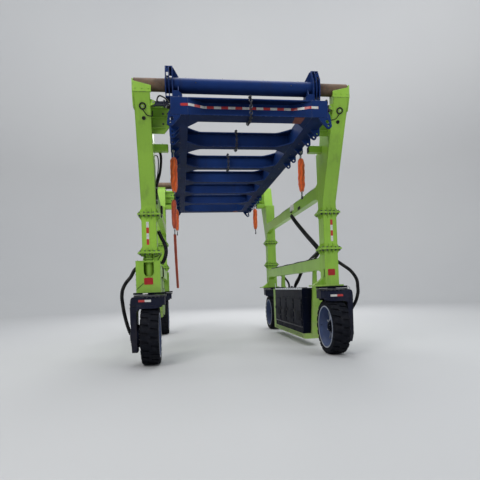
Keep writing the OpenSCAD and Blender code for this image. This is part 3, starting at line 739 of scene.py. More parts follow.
# hooks and shackles of the slings
def hook_shape(b, x, y, top, dy, k=1.0):
    """Forged hook with its latch, drawn in Y and Z below a ring."""
    pts = [(0, 0), (0.002, -0.030), (0.026, -0.058), (0.036, -0.092), (0.012, -0.124), (-0.026, -0.122), (-0.045, -0.092), (-0.036, -0.070)]
    hp = spline([Vector((x, y + dy * k * a, top + k * c)) for a, c in pts], 4)
    n = len(hp) - 1
    b.tube(hp, [k * (0.0135 if i < n * 0.45 else 0.0175 - 0.0105 * max(0, (i / n - 0.7) / 0.3)) for i in range(n + 1)], 12, 1, flat=0.8)
    b.prism([(x - 0.006, y + dy * k * q, top + k * z) for q, z in ((0.012, -0.056), (-0.028, -0.078), (-0.022, -0.088), (0.018, -0.066))], (0.012, 0, 0), 0)
    b.disc_stack((x - 0.014, y, top - 0.004), (1, 0, 0), [(0, 0.014 * k), (0.028, 0.014 * k)], 14, 1)


def ring(b, x, y, z, ry, rz, wire, m=0):
    b.tube([Vector((x, y + ry * math.cos(t), z + rz * math.sin(t))) for t in [2 * math.pi * k / 22 for k in range(22)]], wire, 10, m, closed=True)


def hook(sx, sy):
    x, y = sx * LUG_X, sy * SLING_Y
    b = Build()
    ring(b, x, y, 3.556, 0.034, 0.030, 0.0095)
    link = b.object(f"{END[sy]}_{SIDE[sx]}_sling_ring", "top_frame", [ZINC])
    b = Build()
    hook_shape(b, x, y, 3.534, -sy)
    b.object(f"{END[sy]}_{SIDE[sx]}_sling_hook", "top_frame", [ZINC, CHAIN])
    return link


def small_hook():
    b = Build()
    ring(b, -1.407, -SLING_Y, 2.778, 0.026, 0.022, 0.008)
    link = b.object("lower_sling_ring", "top_frame", [ZINC])
    b = Build()
    hook_shape(b, -1.407, -SLING_Y, 2.760, 1, 0.66)
    ring(b, -1.407, -SLING_Y, 2.674, 0.024, 0.020, 0.006, 1)
    b.object("lower_sling_hook", "top_frame", [ZINC, CHAIN])
    return link


def shackles():
    """Bow shackles: the pin lies along the machine, through the lug plate."""
    b = Build()
    for sx, sy in CORNERS:
        b.flip = (sx, sy)
        x, y = LUG_X, SLING_Y
        bow = [Vector((x, y + 0.028 * c, z)) for c, z in ((-1, LUG_Z), (-1.02, LUG_Z - 0.045), (-1.2, LUG_Z - 0.078), (-1.15, LUG_Z - 0.108), (-0.7, LUG_Z - 0.130),
                                                       (0, LUG_Z - 0.137), (0.7, LUG_Z - 0.130), (1.15, LUG_Z - 0.108), (1.2, LUG_Z - 0.078), (1.02, LUG_Z - 0.045), (1, LUG_Z))]
        dense = spline(bow, 4)
        b.tube(dense, [0.0115] * len(dense), 12, 0)
        for k in (-1, 1):
            b.disc_stack((x, y + k * 0.028 - 0.009, LUG_Z), (0, 1, 0), [(0, 0.026), (0.002, 0.030), (0.016, 0.030), (0.018, 0.026)], 20, 0)
        b.disc_stack((x, y - 0.045, LUG_Z), (0, 1, 0), [(0, 0.013), (0.002, 0.0155), (0.088, 0.0155), (0.090, 0.013)], 16, 0)
        b.bolt((x, y + 0.038, LUG_Z), (0, 1, 0), 0.044, 0.018, 0, False, 0.010)
        b.disc_stack((x, y - 0.050, LUG_Z), (0, 1, 0), [(0, 0.020), (0.002, 0.024), (0.011, 0.024), (0.013, 0.02)], 16, 0)
    b.object("sling_shackles", "top_frame", [ZINC], replaces=("sling_fittings",))
    USED.add("sling_fittings")


shackles()
for sx, sy in CORNERS:
    sling(sx, sy)
lower_sling()
sling_tail()


# ------------------------------------------------------------------ painted shapes from the construction
refine("tube_sleeves", NAVY, 0.005)
refine("end_crossbeams", NAVY, 0.006)
refine("middle_crossbeams", NAVY, 0.005)
refine("side_beams", NAVY, 0.008, 3)
refine("lifting_lugs", NAVY, 0.004)
refine("end_lugs", NAVY, 0.004)
refine("sleeve_brackets", NAVY, 0.003)
refine("width_cylinders", CYL, 0.003)
for s in ("left", "right"):
    refine(f"{s}_slide_tubes", RUST, 0.004)
    refine(f"{s}_upper_legs", GREEN, 0.008, 3)
    refine(f"{s}_middle_legs", GREEN, 0.005, 3)
    refine(f"{s}_tie_beams", GREEN, 0.008, 3)
    refine(f"{s}_slew_rings", BLACK, 0.004)
    refine(f"{s}_width_rods", CHROME, 0.002)
refine("left_suspension_boxes", GREEN_LOW, 0.006, 3)
refine("left_columns", GREEN_LOW, 0.004)
refine("left_fluid_tank", GREEN_LOW, 0.012, 3)
refine("right_lower_legs", GREEN_LOW, 0.005, 3)
refine("right_cradle", GREEN_LOW, 0.004)
refine("right_power_box", BLACK, 0.006, 3)
for sx, sy in CORNERS:
    k = f"{END[sy]}_{SIDE[sx]}"
    refine(f"{k}_fork", FORK, 0.006, 3)
    refine(f"{k}_motor", BLACK, 0.004)


# ------------------------------------------------------------------ wheels
def tyre(sx, sy):
    k = f"{END[sy]}_{SIDE[sx]}"
    c = Vector((sx * SLEW_X, sy * AXIS_Y, 0.589))
    b = Build()
    half = [(0.158, 0.4425), (0.168, 0.446), (0.172, 0.456), (0.174, 0.468), (0.1765, 0.4695), (0.1765, 0.474), (0.1775, 0.488), (0.181, 0.4895), (0.181, 0.494),
            (0.1800, 0.508), (0.1790, 0.524), (0.1735, 0.542), (0.163, 0.555), (0.140, 0.561), (0.080, 0.563)]
    prof = [(-x, r) for x, r in half] + [(x, r) for x, r in reversed(half)]
    b.turn(prof, c, (1, 0, 0), 96, 0)
    b.turn([(-0.021, 0.560), (-0.024, 0.583), (-0.019, 0.588), (0.019, 0.588), (0.024, 0.583), (0.021, 0.560)], c, (1, 0, 0), 96, 0)
    count = 22
    pitch = 2 * math.pi / count
    for s in (-1, 1):
        section = [(0.014, 0.5870), (0.060, 0.5885), (0.110, 0.5885), (0.146, 0.5865), (0.166, 0.5800), (0.1795, 0.5665), (0.1835, 0.5480), (0.1815, 0.5300),
                   (0.168, 0.5350), (0.150, 0.5520), (0.014, 0.5550)]
        m = len(section)
        for j in range(count):
            mid = pitch * (j + (0.5 if s > 0 else 0.0))
            rows = 5
            verts = []
            for i in range(rows):
                for x, r in section:
                    # the lug narrows a little towards the shoulder and leans with it
                    wide = pitch * (0.36 if x < 0.03 else 0.345 - 0.25 * max(0, x - 0.10))
                    a = mid + s * 0.36 * (x - 0.09) + wide * (2 * i / (rows - 1) - 1)
                    verts.append(c + Vector((s * x, r * math.cos(a), r * math.sin(a))))
            faces = []
            for i in range(rows - 1):
                for q in range(m):
                    p = (q + 1) % m
                    f = (i * m + q, (i + 1) * m + q, (i + 1) * m + p, i * m + p)
                    faces.append(f if s < 0 else f[::-1])
            cap = list(range(m))
            end = [(rows - 1) * m + q for q in range(m)]
            faces.append(cap if s < 0 else cap[::-1])
            faces.append(end[::-1] if s < 0 else end)
            b.add(verts, faces, 0)
    ob = b.object(f"{k}_tyre_tread", f"{k}_wheel", [TYRE], bevel=0.0035, segments=1, angle=40, replaces=(f"{k}_tyre",))
    weighted(ob)
    USED.add(f"{k}_tyre")


def rim(sx, sy):
    k = f"{END[sy]}_{SIDE[sx]}"
    c = Vector((sx * SLEW_X, sy * AXIS_Y, 0.589))
    ax = (sx, 0, 0)  # outwards
    b = Build()
    # barrel with a rolled lip at both ends
    b.turn([(-0.158, 0.4405), (-0.162, 0.452), (-0.168, 0.459), (-0.176, 0.459), (-0.179, 0.452), (-0.176, 0.430), (-0.160, 0.424), (-0.120, 0.424), (-0.104, 0.412),
            (-0.060, 0.410), (0.040, 0.410), (0.086, 0.412), (0.150, 0.424), (0.176, 0.430), (0.179, 0.452), (0.176, 0.459), (0.168, 0.459), (0.162, 0.452), (0.158, 0.4405)],
           c, ax, 72, 0)
    # light ring on the open side
    b.turn([(-0.1775, 0.431), (-0.1815, 0.434), (-0.1825, 0.447), (-0.1800, 0.455), (-0.1765, 0.455)], c, ax, 72, 1)
    # disc with a dished face and hub boss
    b.turn([(0.076, 0.415), (0.070, 0.396), (0.072, 0.300), (0.066, 0.220), (0.050, 0.176), (0.030, 0.160), (-0.040, 0.150), (-0.046, 0.143), (-0.046, 0.088), (-0.036, 0.070),
            (0.085, 0.070), (0.088, 0.076), (0.088, 0.150), (0.084, 0.165), (0.086, 0.300), (0.086, 0.415)], c, ax, 72, 0)
    # ribs between hub and barrel
    for j in range(12):
        a = 2 * math.pi * (j + 0.5) / 12
        d = Vector((0, math.cos(a), math.sin(a)))
        t = Vector((1, 0, 0)).cross(d) * 0.008
        o = [c + Vector((sx * h, 0, 0)) + d * r for h, r in ((0.078, 0.146), (-0.034, 0.146), (-0.030, 0.172), (-0.004, 0.280), (0.004, 0.411), (0.078, 0.411))]
        b.prism([p - t * 1.3 for p in o], 2.6 * t, 1)
    # dark hub drum with its cap
    b.turn([(-0.045, 0.0), (-0.045, 0.098), (-0.088, 0.096), (-0.096, 0.088), (-0.100, 0.060), (-0.112, 0.052), (-0.116, 0.030), (-0.117, 0.0)], c, ax, 40, 4, closed=False)
    for j in range(8):
        a = 2 * math.pi * (j + 0.5) / 8
        b.bolt(c + Vector((sx * -0.097, 0, 0)) + Vector((0, math.cos(a), math.sin(a))) * 0.075, (-sx, 0, 0), 0.014, 0.007, 2, True, spin=a)
    # lightening holes drawn as recesses with a rolled edge; the black disc in each is painted shade for the dark of the
    # hole
    for j in range(12):
        a = 2 * math.pi * j / 12
        d = Vector((0, math.cos(a), math.sin(a)))
        at = c + Vector((sx * 0.0725, 0, 0)) + d * 0.330
        b.turn([(0.0, 0.030), (0.006, 0.034), (0.006, 0.040), (0.0, 0.044), (-0.004, 0.037)], at, (-sx, 0, 0), 20, 0)
        b.disc_stack(at + Vector((sx * 0.003, 0, 0)), (-sx, 0, 0), [(0, 0.036), (0.0045, 0.036)], 20, 4)
    # studs and nuts
    for j in range(12):
        a = 2 * math.pi * j / 12
        d = Vector((0, math.cos(a), math.sin(a)))
        b.bolt(c + Vector((sx * -0.044, 0, 0)) + d * 0.117, (-sx, 0, 0), 0.026, 0.014, 2, True, 0.010, spin=a)
        b.bolt(c + Vector((sx * 0.086, 0, 0)) + d * 0.190, (sx, 0, 0), 0.028, 0.014, 2, True, 0.0, spin=a)
    # valve
    b.tube([c + Vector((sx * -0.10, 0.411, 0)), c + Vector((sx * -0.112, 0.400, 0.004)), c + Vector((sx * -0.150, 0.396, 0.006))], [0.006, 0.005, 0.004], 8, 3)
    ob = b.object(f"{k}_rim_dish", f"{k}_wheel", [RIM, RIM_EDGE, BOLT, PLASTIC, BLACK], bevel=0.003, segments=2, angle=40, replaces=(f"{k}_rim",))
    weighted(ob)
    USED.add(f"{k}_rim")


for sx, sy in CORNERS:
    tyre(sx, sy)
    rim(sx, sy)


# ------------------------------------------------------------------ hoses
def corrugated(b, pts, r, n=10, m=0, step=0.022, rib=0.06):
    """A sheathed hose with shallow rings."""
    dense = spline(pts, 12)
    total = length_of(dense)
    count = max(8, int(total / step))
    # even spacing along the route
    even = [dense[0]]
    gap = total / count
    want = gap
    walked = 0.0
    for a, c in zip(dense, dense[1:]):
        seg = (c - a).length
        while want <= walked + seg + 1e-9 and seg > 0:
            even.append(a.lerp(c, (want - walked) / seg))
            want += gap
        walked += seg
    if (even[-1] - dense[-1]).length > 1e-4:
        even.append(dense[-1])
    rr = [r * (1 + (rib if k % 2 else -rib * 0.4)) for k in range(len(even))]
    b.tube(even, rr, n, m)
    return even


def ferrule(b, at, direction, r, m=0, nut=True):
    d = Vector(direction).normalized()
    b.disc_stack(Vector(at) - d * 0.004, d, [(0, r * 0.9), (0.004, r * 1.16), (0.050, r * 1.16), (0.056, r * 0.95)], 14, m)
    if nut:
        b.bolt(Vector(at) - d * 0.030, d, r * 2.3, 0.026, m, False)


LEFT_HOSE = [(-1.734, -2.930, 2.720), (-1.690, -2.930, 2.610), (-1.630, -2.930, 2.480), (-1.600, -2.930, 2.340), (-1.615, -2.930, 2.220), (-1.655, -2.930, 2.120), (-1.682, -2.930, 2.080)]
RIGHT_HOSE = [(1.760, -0.600, 3.410), (1.780, -0.760, 3.290), (1.825, -0.980, 3.110), (1.890, -1.450, 2.790), (1.960, -1.900, 2.490), (2.020, -1.985, 2.350), (2.035, -1.780, 2.255),
              (2.035, -1.400, 2.165), (2.035, -0.850, 2.035), (2.035, -0.400, 1.880), (2.005, -0.190, 1.690), (1.965, 0.000, 1.540), (1.950, 0.040, 1.450)]
STEER_LEFT = [(2.215, 2.990, 1.975), (2.262, 2.990, 1.925), (2.330, 2.990, 1.800), (2.430, 2.990, 1.680), (2.492, 2.990, 1.560), (2.515, 2.990, 1.450), (2.515, 2.990, 1.336), (2.484, 2.990, 1.090), (2.431, 2.990, 0.842),
              (2.372, 2.990, 0.656)]
STEER_RIGHT = [(2.076, 2.990, 2.030), (2.234, 2.990, 1.922), (2.391, 2.990, 1.807), (2.501, 2.990, 1.671), (2.547, 2.990, 1.560), (2.555, 2.990, 1.450), (2.555, 2.990, 1.315), (2.505, 2.990, 1.141), (2.430, 2.990, 1.012),
               (2.372, 2.990, 0.930)]


def hoses():
    for sx, route in ((-1, LEFT_HOSE), (1, RIGHT_HOSE)):
        b = Build()
        pts = [Vector(p) for p in route]
        if sx < 0:
            for dx, dy, r in ((0, 0, 0.038), (0.0, 0.058, 0.023), (-0.012, -0.052, 0.020)):
                corrugated(b, [p + Vector((dx, dy, 0)) for p in pts], r)
        else:
            for dx, dz, r in ((0.004, 0, 0.039), (0.008, 0.056, 0.024), (0.012, -0.052, 0.022)):
                corrugated(b, [p + Vector((dx, 0, dz)) for p in pts], r, step=0.03)
        for p, q in ((pts[0], pts[1]), (pts[-1], pts[-2])):
            ferrule(b, p, q - p, 0.030, 1)
        s = SIDE[sx]
        b.object(f"{s}_leg_hoses", f"{s}_side", [HOSE, BOLT], replaces=(f"{s}_hoses",))
        USED.add(f"{s}_hoses")
    for sx, sy in CORNERS:
        route = STEER_LEFT if sx < 0 else STEER_RIGHT
        pts = [mirrored(sx, sy, p) for p in route]
        b = Build()
        corrugated(b, pts, 0.036, 12)
        for p, q in ((pts[0], pts[1]), (pts[-1], pts[-2])):
            ferrule(b, p, q - p, 0.030, 1)
        s, k = SIDE[sx], f"{END[sy]}_{SIDE[sx]}"
        ob = b.object(f"{k}_steering_hose", None, [HOSE, BOLT], ride=False)
        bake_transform(ob, f"{s}_side", f"{k}_steer", start=mirrored(sx, sy, (2.5, 2.990, 1.80)), end=mirrored(sx, sy, (2.5, 2.990, 1.15)))
        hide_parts(f"{k}_fork_hose")
        USED.add(f"{k}_fork_hose")


hoses()

# ------------------------------------------------------------------ small parts
def strip(b, path, z0, z1, t, m, phase=0.0, pitch=0.25, vertical=None):
    """A thin band along a path of (x, y) or (x, y, rise) points with its outward side on the right; u counts its colour pitches."""
    pts = [Vector((p[0], p[1], p[2] if len(p) > 2 else 0)) for p in path]
    dist, verts, uu = 0.0, [], []
    dense = []
    for a, c in zip(pts, pts[1:]):
        k = max(1, int((c - a).length / 0.031))
        dense += [(a.lerp(c, i / k), (c - a).normalized()) for i in range(k)]
    dense.append((pts[-1], (pts[-1] - pts[-2]).normalized()))
    for i, (p, d) in enumerate(dense):
        if i:
            dist += (p - dense[i - 1][0]).length
        out = Vector((d.y, -d.x, 0))
        for off, z in ((0, z0), (t, z0), (t, z1), (0, z1)):
            verts.append(Vector((p.x, p.y, p.z + z)) + out * off)
            uu.append(dist / pitch + phase)
    n = len(dense)
    faces = [(i * 4 + k, i * 4 + (k + 1) % 4, i * 4 + 4 + (k + 1) % 4, i * 4 + 4 + k) for i in range(n - 1) for k in range(4)]
    faces += [(3, 2, 1, 0), tuple((n - 1) * 4 + k for k in range(4))]
    b.add(verts, faces, m, u=uu, nob=True)


def band(b, x0, x1, y, z0, z1, m, phase, pitch):
    """A thin upright band on a front face at y, its colours changing with height."""
    k = 16
    verts, uu = [], []
    for i in range(k + 1):
        z = z1 + (z0 - z1) * i / k
        for x, q in ((x0, y - 0.001), (x1, y - 0.001), (x1, y + 0.0016), (x0, y + 0.0016)):
            verts.append((x, q, z))
            uu.append((z1 - z) / pitch + phase)
    faces = [(i * 4 + q, i * 4 + (q + 1) % 4, i * 4 + 4 + (q + 1) % 4, i * 4 + 4 + q) for i in range(k) for q in range(4)]
    faces += [(3, 2, 1, 0), tuple(k * 4 + q for q in range(4))]
    b.add(verts, faces, m, u=uu, nob=True)


def flange_marks(b, z, thick, bolt_m, side_m, round_column=False):
    """Bolts and gussets of one bolted leg joint."""
    for x in (LEG_IN - 0.0375, LEG_OUT + 0.0375):
        for y in (2.83, 2.93, 3.03, 3.13):
            b.bolt((x, y, z + 0.020), (0, 0, 1), 0.030, 0.016, bolt_m, True, 0.008, spin=y * 9)
            b.bolt((x, y, z - 0.020), (0, 0, -1), 0.030, 0.018, bolt_m, True, 0.012, spin=y * 7)
    for y in (2.7925, 3.1675):
        for x in (LEG_IN - 0.0375, 1.828, 1.922, 2.016, LEG_OUT + 0.0375):
            b.bolt((x, y, z + 0.020), (0, 0, 1), 0.030, 0.016, bolt_m, True, 0.008, spin=x * 9)
            b.bolt((x, y, z - 0.020), (0, 0, -1), 0.030, 0.018, bolt_m, True, 0.012, spin=x * 7)
    for s in (1, -1):
        if s < 0 and round_column:
            for k in range(8):
                a = math.pi * (k + 0.5) / 4
                d = Vector((math.cos(a), math.sin(a), 0))
                c = Vector((SLEW_X, AXIS_Y, z - 0.020))
                t = Vector((-d.y, d.x, 0)) * 0.006
                b.prism([c + d * 0.094 - t, c + d * 0.150 - t, c + d * 0.094 - t + Vector((0, 0, -0.085))], 2 * t, side_m)
            continue
        h = z + s * 0.020
        for y in (2.88, 2.98, 3.08):
            for x, o in ((LEG_IN, -1), (LEG_OUT, 1)):
                b.prism([(x - o * 0.001, y - 0.006, h), (x + o * 0.062, y - 0.006, h), (x + o * 0.062, y - 0.006, h + s * 0.012), (x - o * 0.001, y - 0.006, h + s * 0.115)], (0, 0.012, 0), side_m)
        for x in (1.875, 1.969):
            for y, o in ((LEG_BACK, -1), (LEG_FRONT, 1)):
                b.prism([(x - 0.006, y - o * 0.001, h), (x - 0.006, y + o * 0.046, h), (x - 0.006, y + o * 0.046, h + s * 0.012), (x - 0.006, y - o * 0.001, h + s * 0.115)], (0.012, 0, 0), side_m)


def loop_bead(b, x0, x1, y0, y1, z, m, r=0.006):
    b.bead([(x0, y0, z), (x1, y0, z), (x1, y1, z), (x0, y1, z)], r, m, closed=True)


def side_frame(sx):
    s = SIDE[sx]
    left = sx < 0
    green = GREEN
    b = Build()
    mats = [green, BOLT, TAPE, SIGN_RED, PLASTIC, HOSE, LABEL, ZINC, GREEN_LOW, LENS]
    for sy in (-1, 1):
        b.flip = (sx, sy)
        flange_marks(b, LOW_Z, 0.02, 1, 0, round_column=left)
        flange_marks(b, HIGH_Z, 0.02, 1, 0)
        for z in (LOW_Z + 0.021, HIGH_Z - 0.021, HIGH_Z + 0.021):
            loop_bead(b, LEG_IN, LEG_OUT, LEG_BACK, LEG_FRONT, z, 0)
        if not left:
            loop_bead(b, LEG_IN, LEG_OUT, LEG_BACK, LEG_FRONT, LOW_Z - 0.021, 8)
            loop_bead(b, LEG_IN, LEG_OUT, LEG_BACK, LEG_FRONT, 1.502, 8)
        # corner seams of the leg boxes
        for x in (LEG_IN + 0.010, LEG_OUT - 0.010):
            b.bead([(x, LEG_FRONT, LOW_Z + 0.03), (x, LEG_FRONT, HIGH_Z - 0.03)], 0.0042, 0)
            b.bead([(x, LEG_FRONT, HIGH_Z + 0.03), (x, LEG_FRONT, KINK_Z), (x, lean_y(4.4), 4.4), (x, lean_y(5.15), 5.15)], 0.0042, 0)
            b.bead([(x, LEG_BACK, LOW_Z + 0.03), (x, LEG_BACK, HIGH_Z - 0.03)], 0.0042, 0)
        # reflecting band on the middle leg and a blank red sign on the lower one
        for y, o in ((LEG_FRONT, 1),):
            b2 = (LEG_OUT + LEG_IN) / 2
            band(b, b2 + 0.004, b2 + 0.056, y, 2.44, 2.91, 2, 0.5 if left else 0.0, 0.235)
            if left:
                b.prism([(1.87, 3.1645, 1.63), (2.05, 3.1645, 1.63), (2.05, 3.1645, 1.77), (1.87, 3.1645, 1.77)], (0, 0.003, 0), 3)
                for x, z in ((1.88, 1.64), (2.04, 1.64), (1.88, 1.76), (2.04, 1.76)):
                    b.disc_stack((x, 3.167, z), (0, 1, 0), [(0, 0.005), (0.002, 0.004)], 10, 7)
            else:
                b.prism([(1.83, 3.1395, 1.70), (1.99, 3.1395, 1.70), (1.99, 3.1395, 1.84), (1.83, 3.1395, 1.84)], (0, 0.003, 0), 3)
                for x, z in ((1.84, 1.71), (1.98, 1.71), (1.84, 1.83), (1.98, 1.83)):
                    b.disc_stack((x, 3.142, z), (0, 1, 0), [(0, 0.005), (0.002, 0.004)], 10, 7)
        if not left:
            # painted shade: a black plate inside the slot in the leg's inner face stands in for the dark inside it
            b.box((1.786, 3.0315, 1.6615), (1.792, 3.0985, 1.8385), 4)
            b.prism([(1.600, 2.862, 1.5005), (LEG_IN, 2.862, 1.5005), (LEG_IN, 2.862, 1.690), (1.770, 2.862, 1.640), (1.650, 2.862, 1.562)], (0, -0.012, 0), 0)
        # lamp ring port with its cable, and a drain port, on the leaning face
        lean = Vector((0, LEAN_TOP_Z - KINK_Z, -(LEAN_TOP_Y - LEG_FRONT))).normalized()
        up = Vector((1, 0, 0)).cross(lean).normalized()
        c = Vector((1.92, lean_y(4.953), 4.953))
        b.turn([(-0.004, 0.041), (0.012, 0.041), (0.018, 0.046), (0.018, 0.060), (0.012, 0.067), (-0.004, 0.067)], c, lean, 40, 4)
        b.disc_stack(c - lean * 0.002, lean, [(0, 0.042), (0.006, 0.042), (0.011, 0.032), (0.012, 0.020)], 32, 0)
        b.disc_stack(c + lean * 0.008, lean, [(0, 0.016), (0.004, 0.016), (0.007, 0.011), (0.008, 0.004)], 24, 7)
        for k in range(6):
            a = math.pi * k / 3
            b.bolt(c + (Vector((1, 0, 0)) * math.cos(a) + up * math.sin(a)) * 0.053 + lean * 0.017, lean, 0.010, 0.005, 1, False)
        c2 = Vector((1.91, lean_y(4.762), 4.762))
        b.disc_stack(c2 - lean * 0.002, lean, [(0, 0.028), (0.006, 0.026)], 24, 4)
        b.turn([(-0.002, 0.027), (0.008, 0.027), (0.010, 0.030), (0.010, 0.034), (-0.002, 0.037)], c2, lean, 28, 4)
        cable = spline([c - up * 0.058 + lean * 0.008, c - up * 0.090 + lean * 0.022 - Vector((0.020, 0, 0)), Vector((1.850, lean_y(4.805) + 0.024, 4.805)), Vector((1.785, lean_y(4.790) + 0.018, 4.790)),
                        Vector((1.750, lean_y(4.810) - 0.016, 4.810)), Vector((1.745, lean_y(4.90) - 0.08, 4.91))], 7)
        b.tube(cable, 0.0085, 8, 5)
        # guide plate stiffeners and its bolts
        for z in (4.66, 4.86, 5.05):
            x0 = 1.50 if z < 4.7 else 1.435
            b.prism([(x0, 3.604, z), (LEG_IN, 3.604, z), (LEG_IN, 3.650, z), (x0 + 0.10, 3.650, z)], (0, 0, 0.012), 0)
            b.prism([(x0, 3.576, z), (LEG_IN, 3.576, z), (LEG_IN, 3.530, z), (x0 + 0.10, 3.530, z)], (0, 0, 0.012), 0)
        for z in (4.75, 4.95):
            for x in (1.47, 1.56):
                b.bolt((x, 3.575, z), (0, -1, 0), 0.030, 0.016, 1, True)
                b.bolt((x, 3.605, z), (0, 1, 0), 0.030, 0.016, 1, True)
        loop_bead(b, 1.770, 1.7705, 3.575, 3.605, 4.60, 0, 0.004)
        # slider pad with bolts on the bar towards the side beam
        b.box((1.484, 3.090, 4.360), (1.4905, 3.210, 4.480), 4)
        for y, z in ((3.11, 4.38), (3.19, 4.38), (3.11, 4.46), (3.19, 4.46)):
            b.bolt((1.60, y, 4.490), (0, 0, 1), 0.020, 0.010, 1, True) if z > 4.4 else None
        # cap band bolts and the end plate's bolts round the slide tube
        for k in range(8):
            a = 2 * math.pi * (k + 0.5) / 8
            b.bolt((LEG_OUT - 0.0005, TUBE_Y - 0.0 + 0.082 * math.cos(a), TUBE_Z + 0.082 * math.sin(a)), (1, 0, 0), 0.022, 0.012, 1, True, spin=a)
        b.turn([(0.0, 0.0), (0.0, 0.060), (0.010, 0.060), (0.013, 0.054), (0.013, 0.0)], (LEG_OUT - 0.002, TUBE_Y, TUBE_Z), (1, 0, 0), 32, 0, closed=False)
        for x in (1.80, 1.92, 2.04):
            b.bolt((x, LEAN_TOP_Y + 0.008, 5.235), (0, 1, 0), 0.020, 0.010, 0, True)
        # clevis plates at the end of the width rod
        for y in (TUBE_Y - 0.058, TUBE_Y + 0.044):
            b.prism([(1.774, y, 4.955), (1.700, y, 4.985), (1.690, y, 5.020), (1.700, y, 5.055), (1.774, y, 5.085)], (0, 0.014, 0), 0)
        b.disc_stack((1.722, TUBE_Y - 0.066, CYL_Z), (0, 1, 0), [(0, 0.012), (0.002, 0.0145), (0.130, 0.0145), (0.132, 0.012)], 16, 7)
        b.tube([(1.692, TUBE_Y, CYL_Z), (1.752, TUBE_Y, CYL_Z)], 0.034, 18, 7)
        # tie beam seams
        for z0 in (1.840, 3.450):
            for z in (z0 + 0.004, z0 + 0.256):
                b.bead([(LEG_IN - 0.0005, 0.02, z), (LEG_IN - 0.0005, 2.58 if left and z0 < 2 else 2.64, z)], 0.0042, 0)
        b.flip = (sx, 1)
    # label box on the inner face of the upper tie beam, and a junction box with glands
    b.flip = (sx, 1)
    if left:
        b.box((1.722, -1.02, 3.50), (1.773, -0.74, 3.66), 4)
        for y in (-0.96, -0.88, -0.80):
            b.disc_stack((1.748, y, 3.500), (0, 0, -1), [(0, 0.014), (0.004, 0.016), (0.020, 0.016), (0.026, 0.010)], 12, 4)
            b.tube(spline([(1.748, y, 3.478), (1.748, y + 0.01, 3.430), (1.757, y + 0.05, 3.395), (1.765, y + 0.16, 3.404), (1.778, y + 0.22, 3.448)], 5), 0.0075, 8, 5)
        # hanging cable along the front leg
        b.flip = (sx, -1)
        b.tube(spline([(1.764, 3.10, 4.390), (1.690, 3.06, 4.420), (1.650, 3.02, 4.330), (1.648, 3.00, 4.180), (1.672, 3.00, 3.980), (1.712, 3.00, 3.820), (1.748, 3.00, 3.700), (1.762, 2.99, 3.560), (1.766, 2.98, 3.300)], 8), 0.027, 12, 5)
        b.tube(spline([(1.766, 3.06, 4.300), (1.712, 3.05, 4.280), (1.700, 3.04, 4.120), (1.724, 3.03, 3.900), (1.756, 3.02, 3.740), (1.764, 3.01, 3.300)], 8), 0.011, 10, 5)
        for z, x in ((3.62, 1.758), (3.36, 1.765)):
            b.box((x - 0.030, 2.955, z), (1.773, 3.045, z + 0.026), 7)
        b.flip = (sx, 1)
    else:
        b.box((1.736, -0.83, 3.55), (1.773, -0.55, 3.71), 6)
        b.box((1.728, -0.80, 3.57), (1.738, -0.58, 3.69), 6)
        for y, z in ((-0.815, 3.565), (-0.565, 3.565), (-0.815, 3.695), (-0.565, 3.695)):
            b.bolt((1.737, y, z), (-1, 0, 0), 0.010, 0.005, 7, False)
        b.disc_stack((1.756, -0.60, 3.552), (0, 0, -1), [(0, 0.020), (0.004, 0.024), (0.030, 0.024), (0.040, 0.016)], 14, 4)
        b.box((1.755, -1.45, 3.47), (1.773, -1.25, 3.54), 4)
    # conduit along both tie beams with clips
    for z, x, y1 in ((3.725, LEG_IN + 0.030, 2.62), (2.118, LEG_IN + 0.035, 2.40)):
        for dx, r in ((0, 0.014), (0.034, 0.010), (0.060, 0.010)):
            b.tube([(x + dx, y, z + 0.006 * math.sin(y * 5 + dx * 90)) for y in [-y1 + 2 * y1 * i / 44 for i in range(45)]], r, 8, 5)
        for i in range(9):
            y = -y1 + 0.12 + (2 * y1 - 0.24) * i / 8
            b.box((x - 0.020, y - 0.012, z - 0.022), (x + 0.078, y + 0.012, z + 0.019), 7)
    b.object(f"{s}_side_fittings", f"{s}_side", mats, bevel=0.0022, segments=1, angle=50)


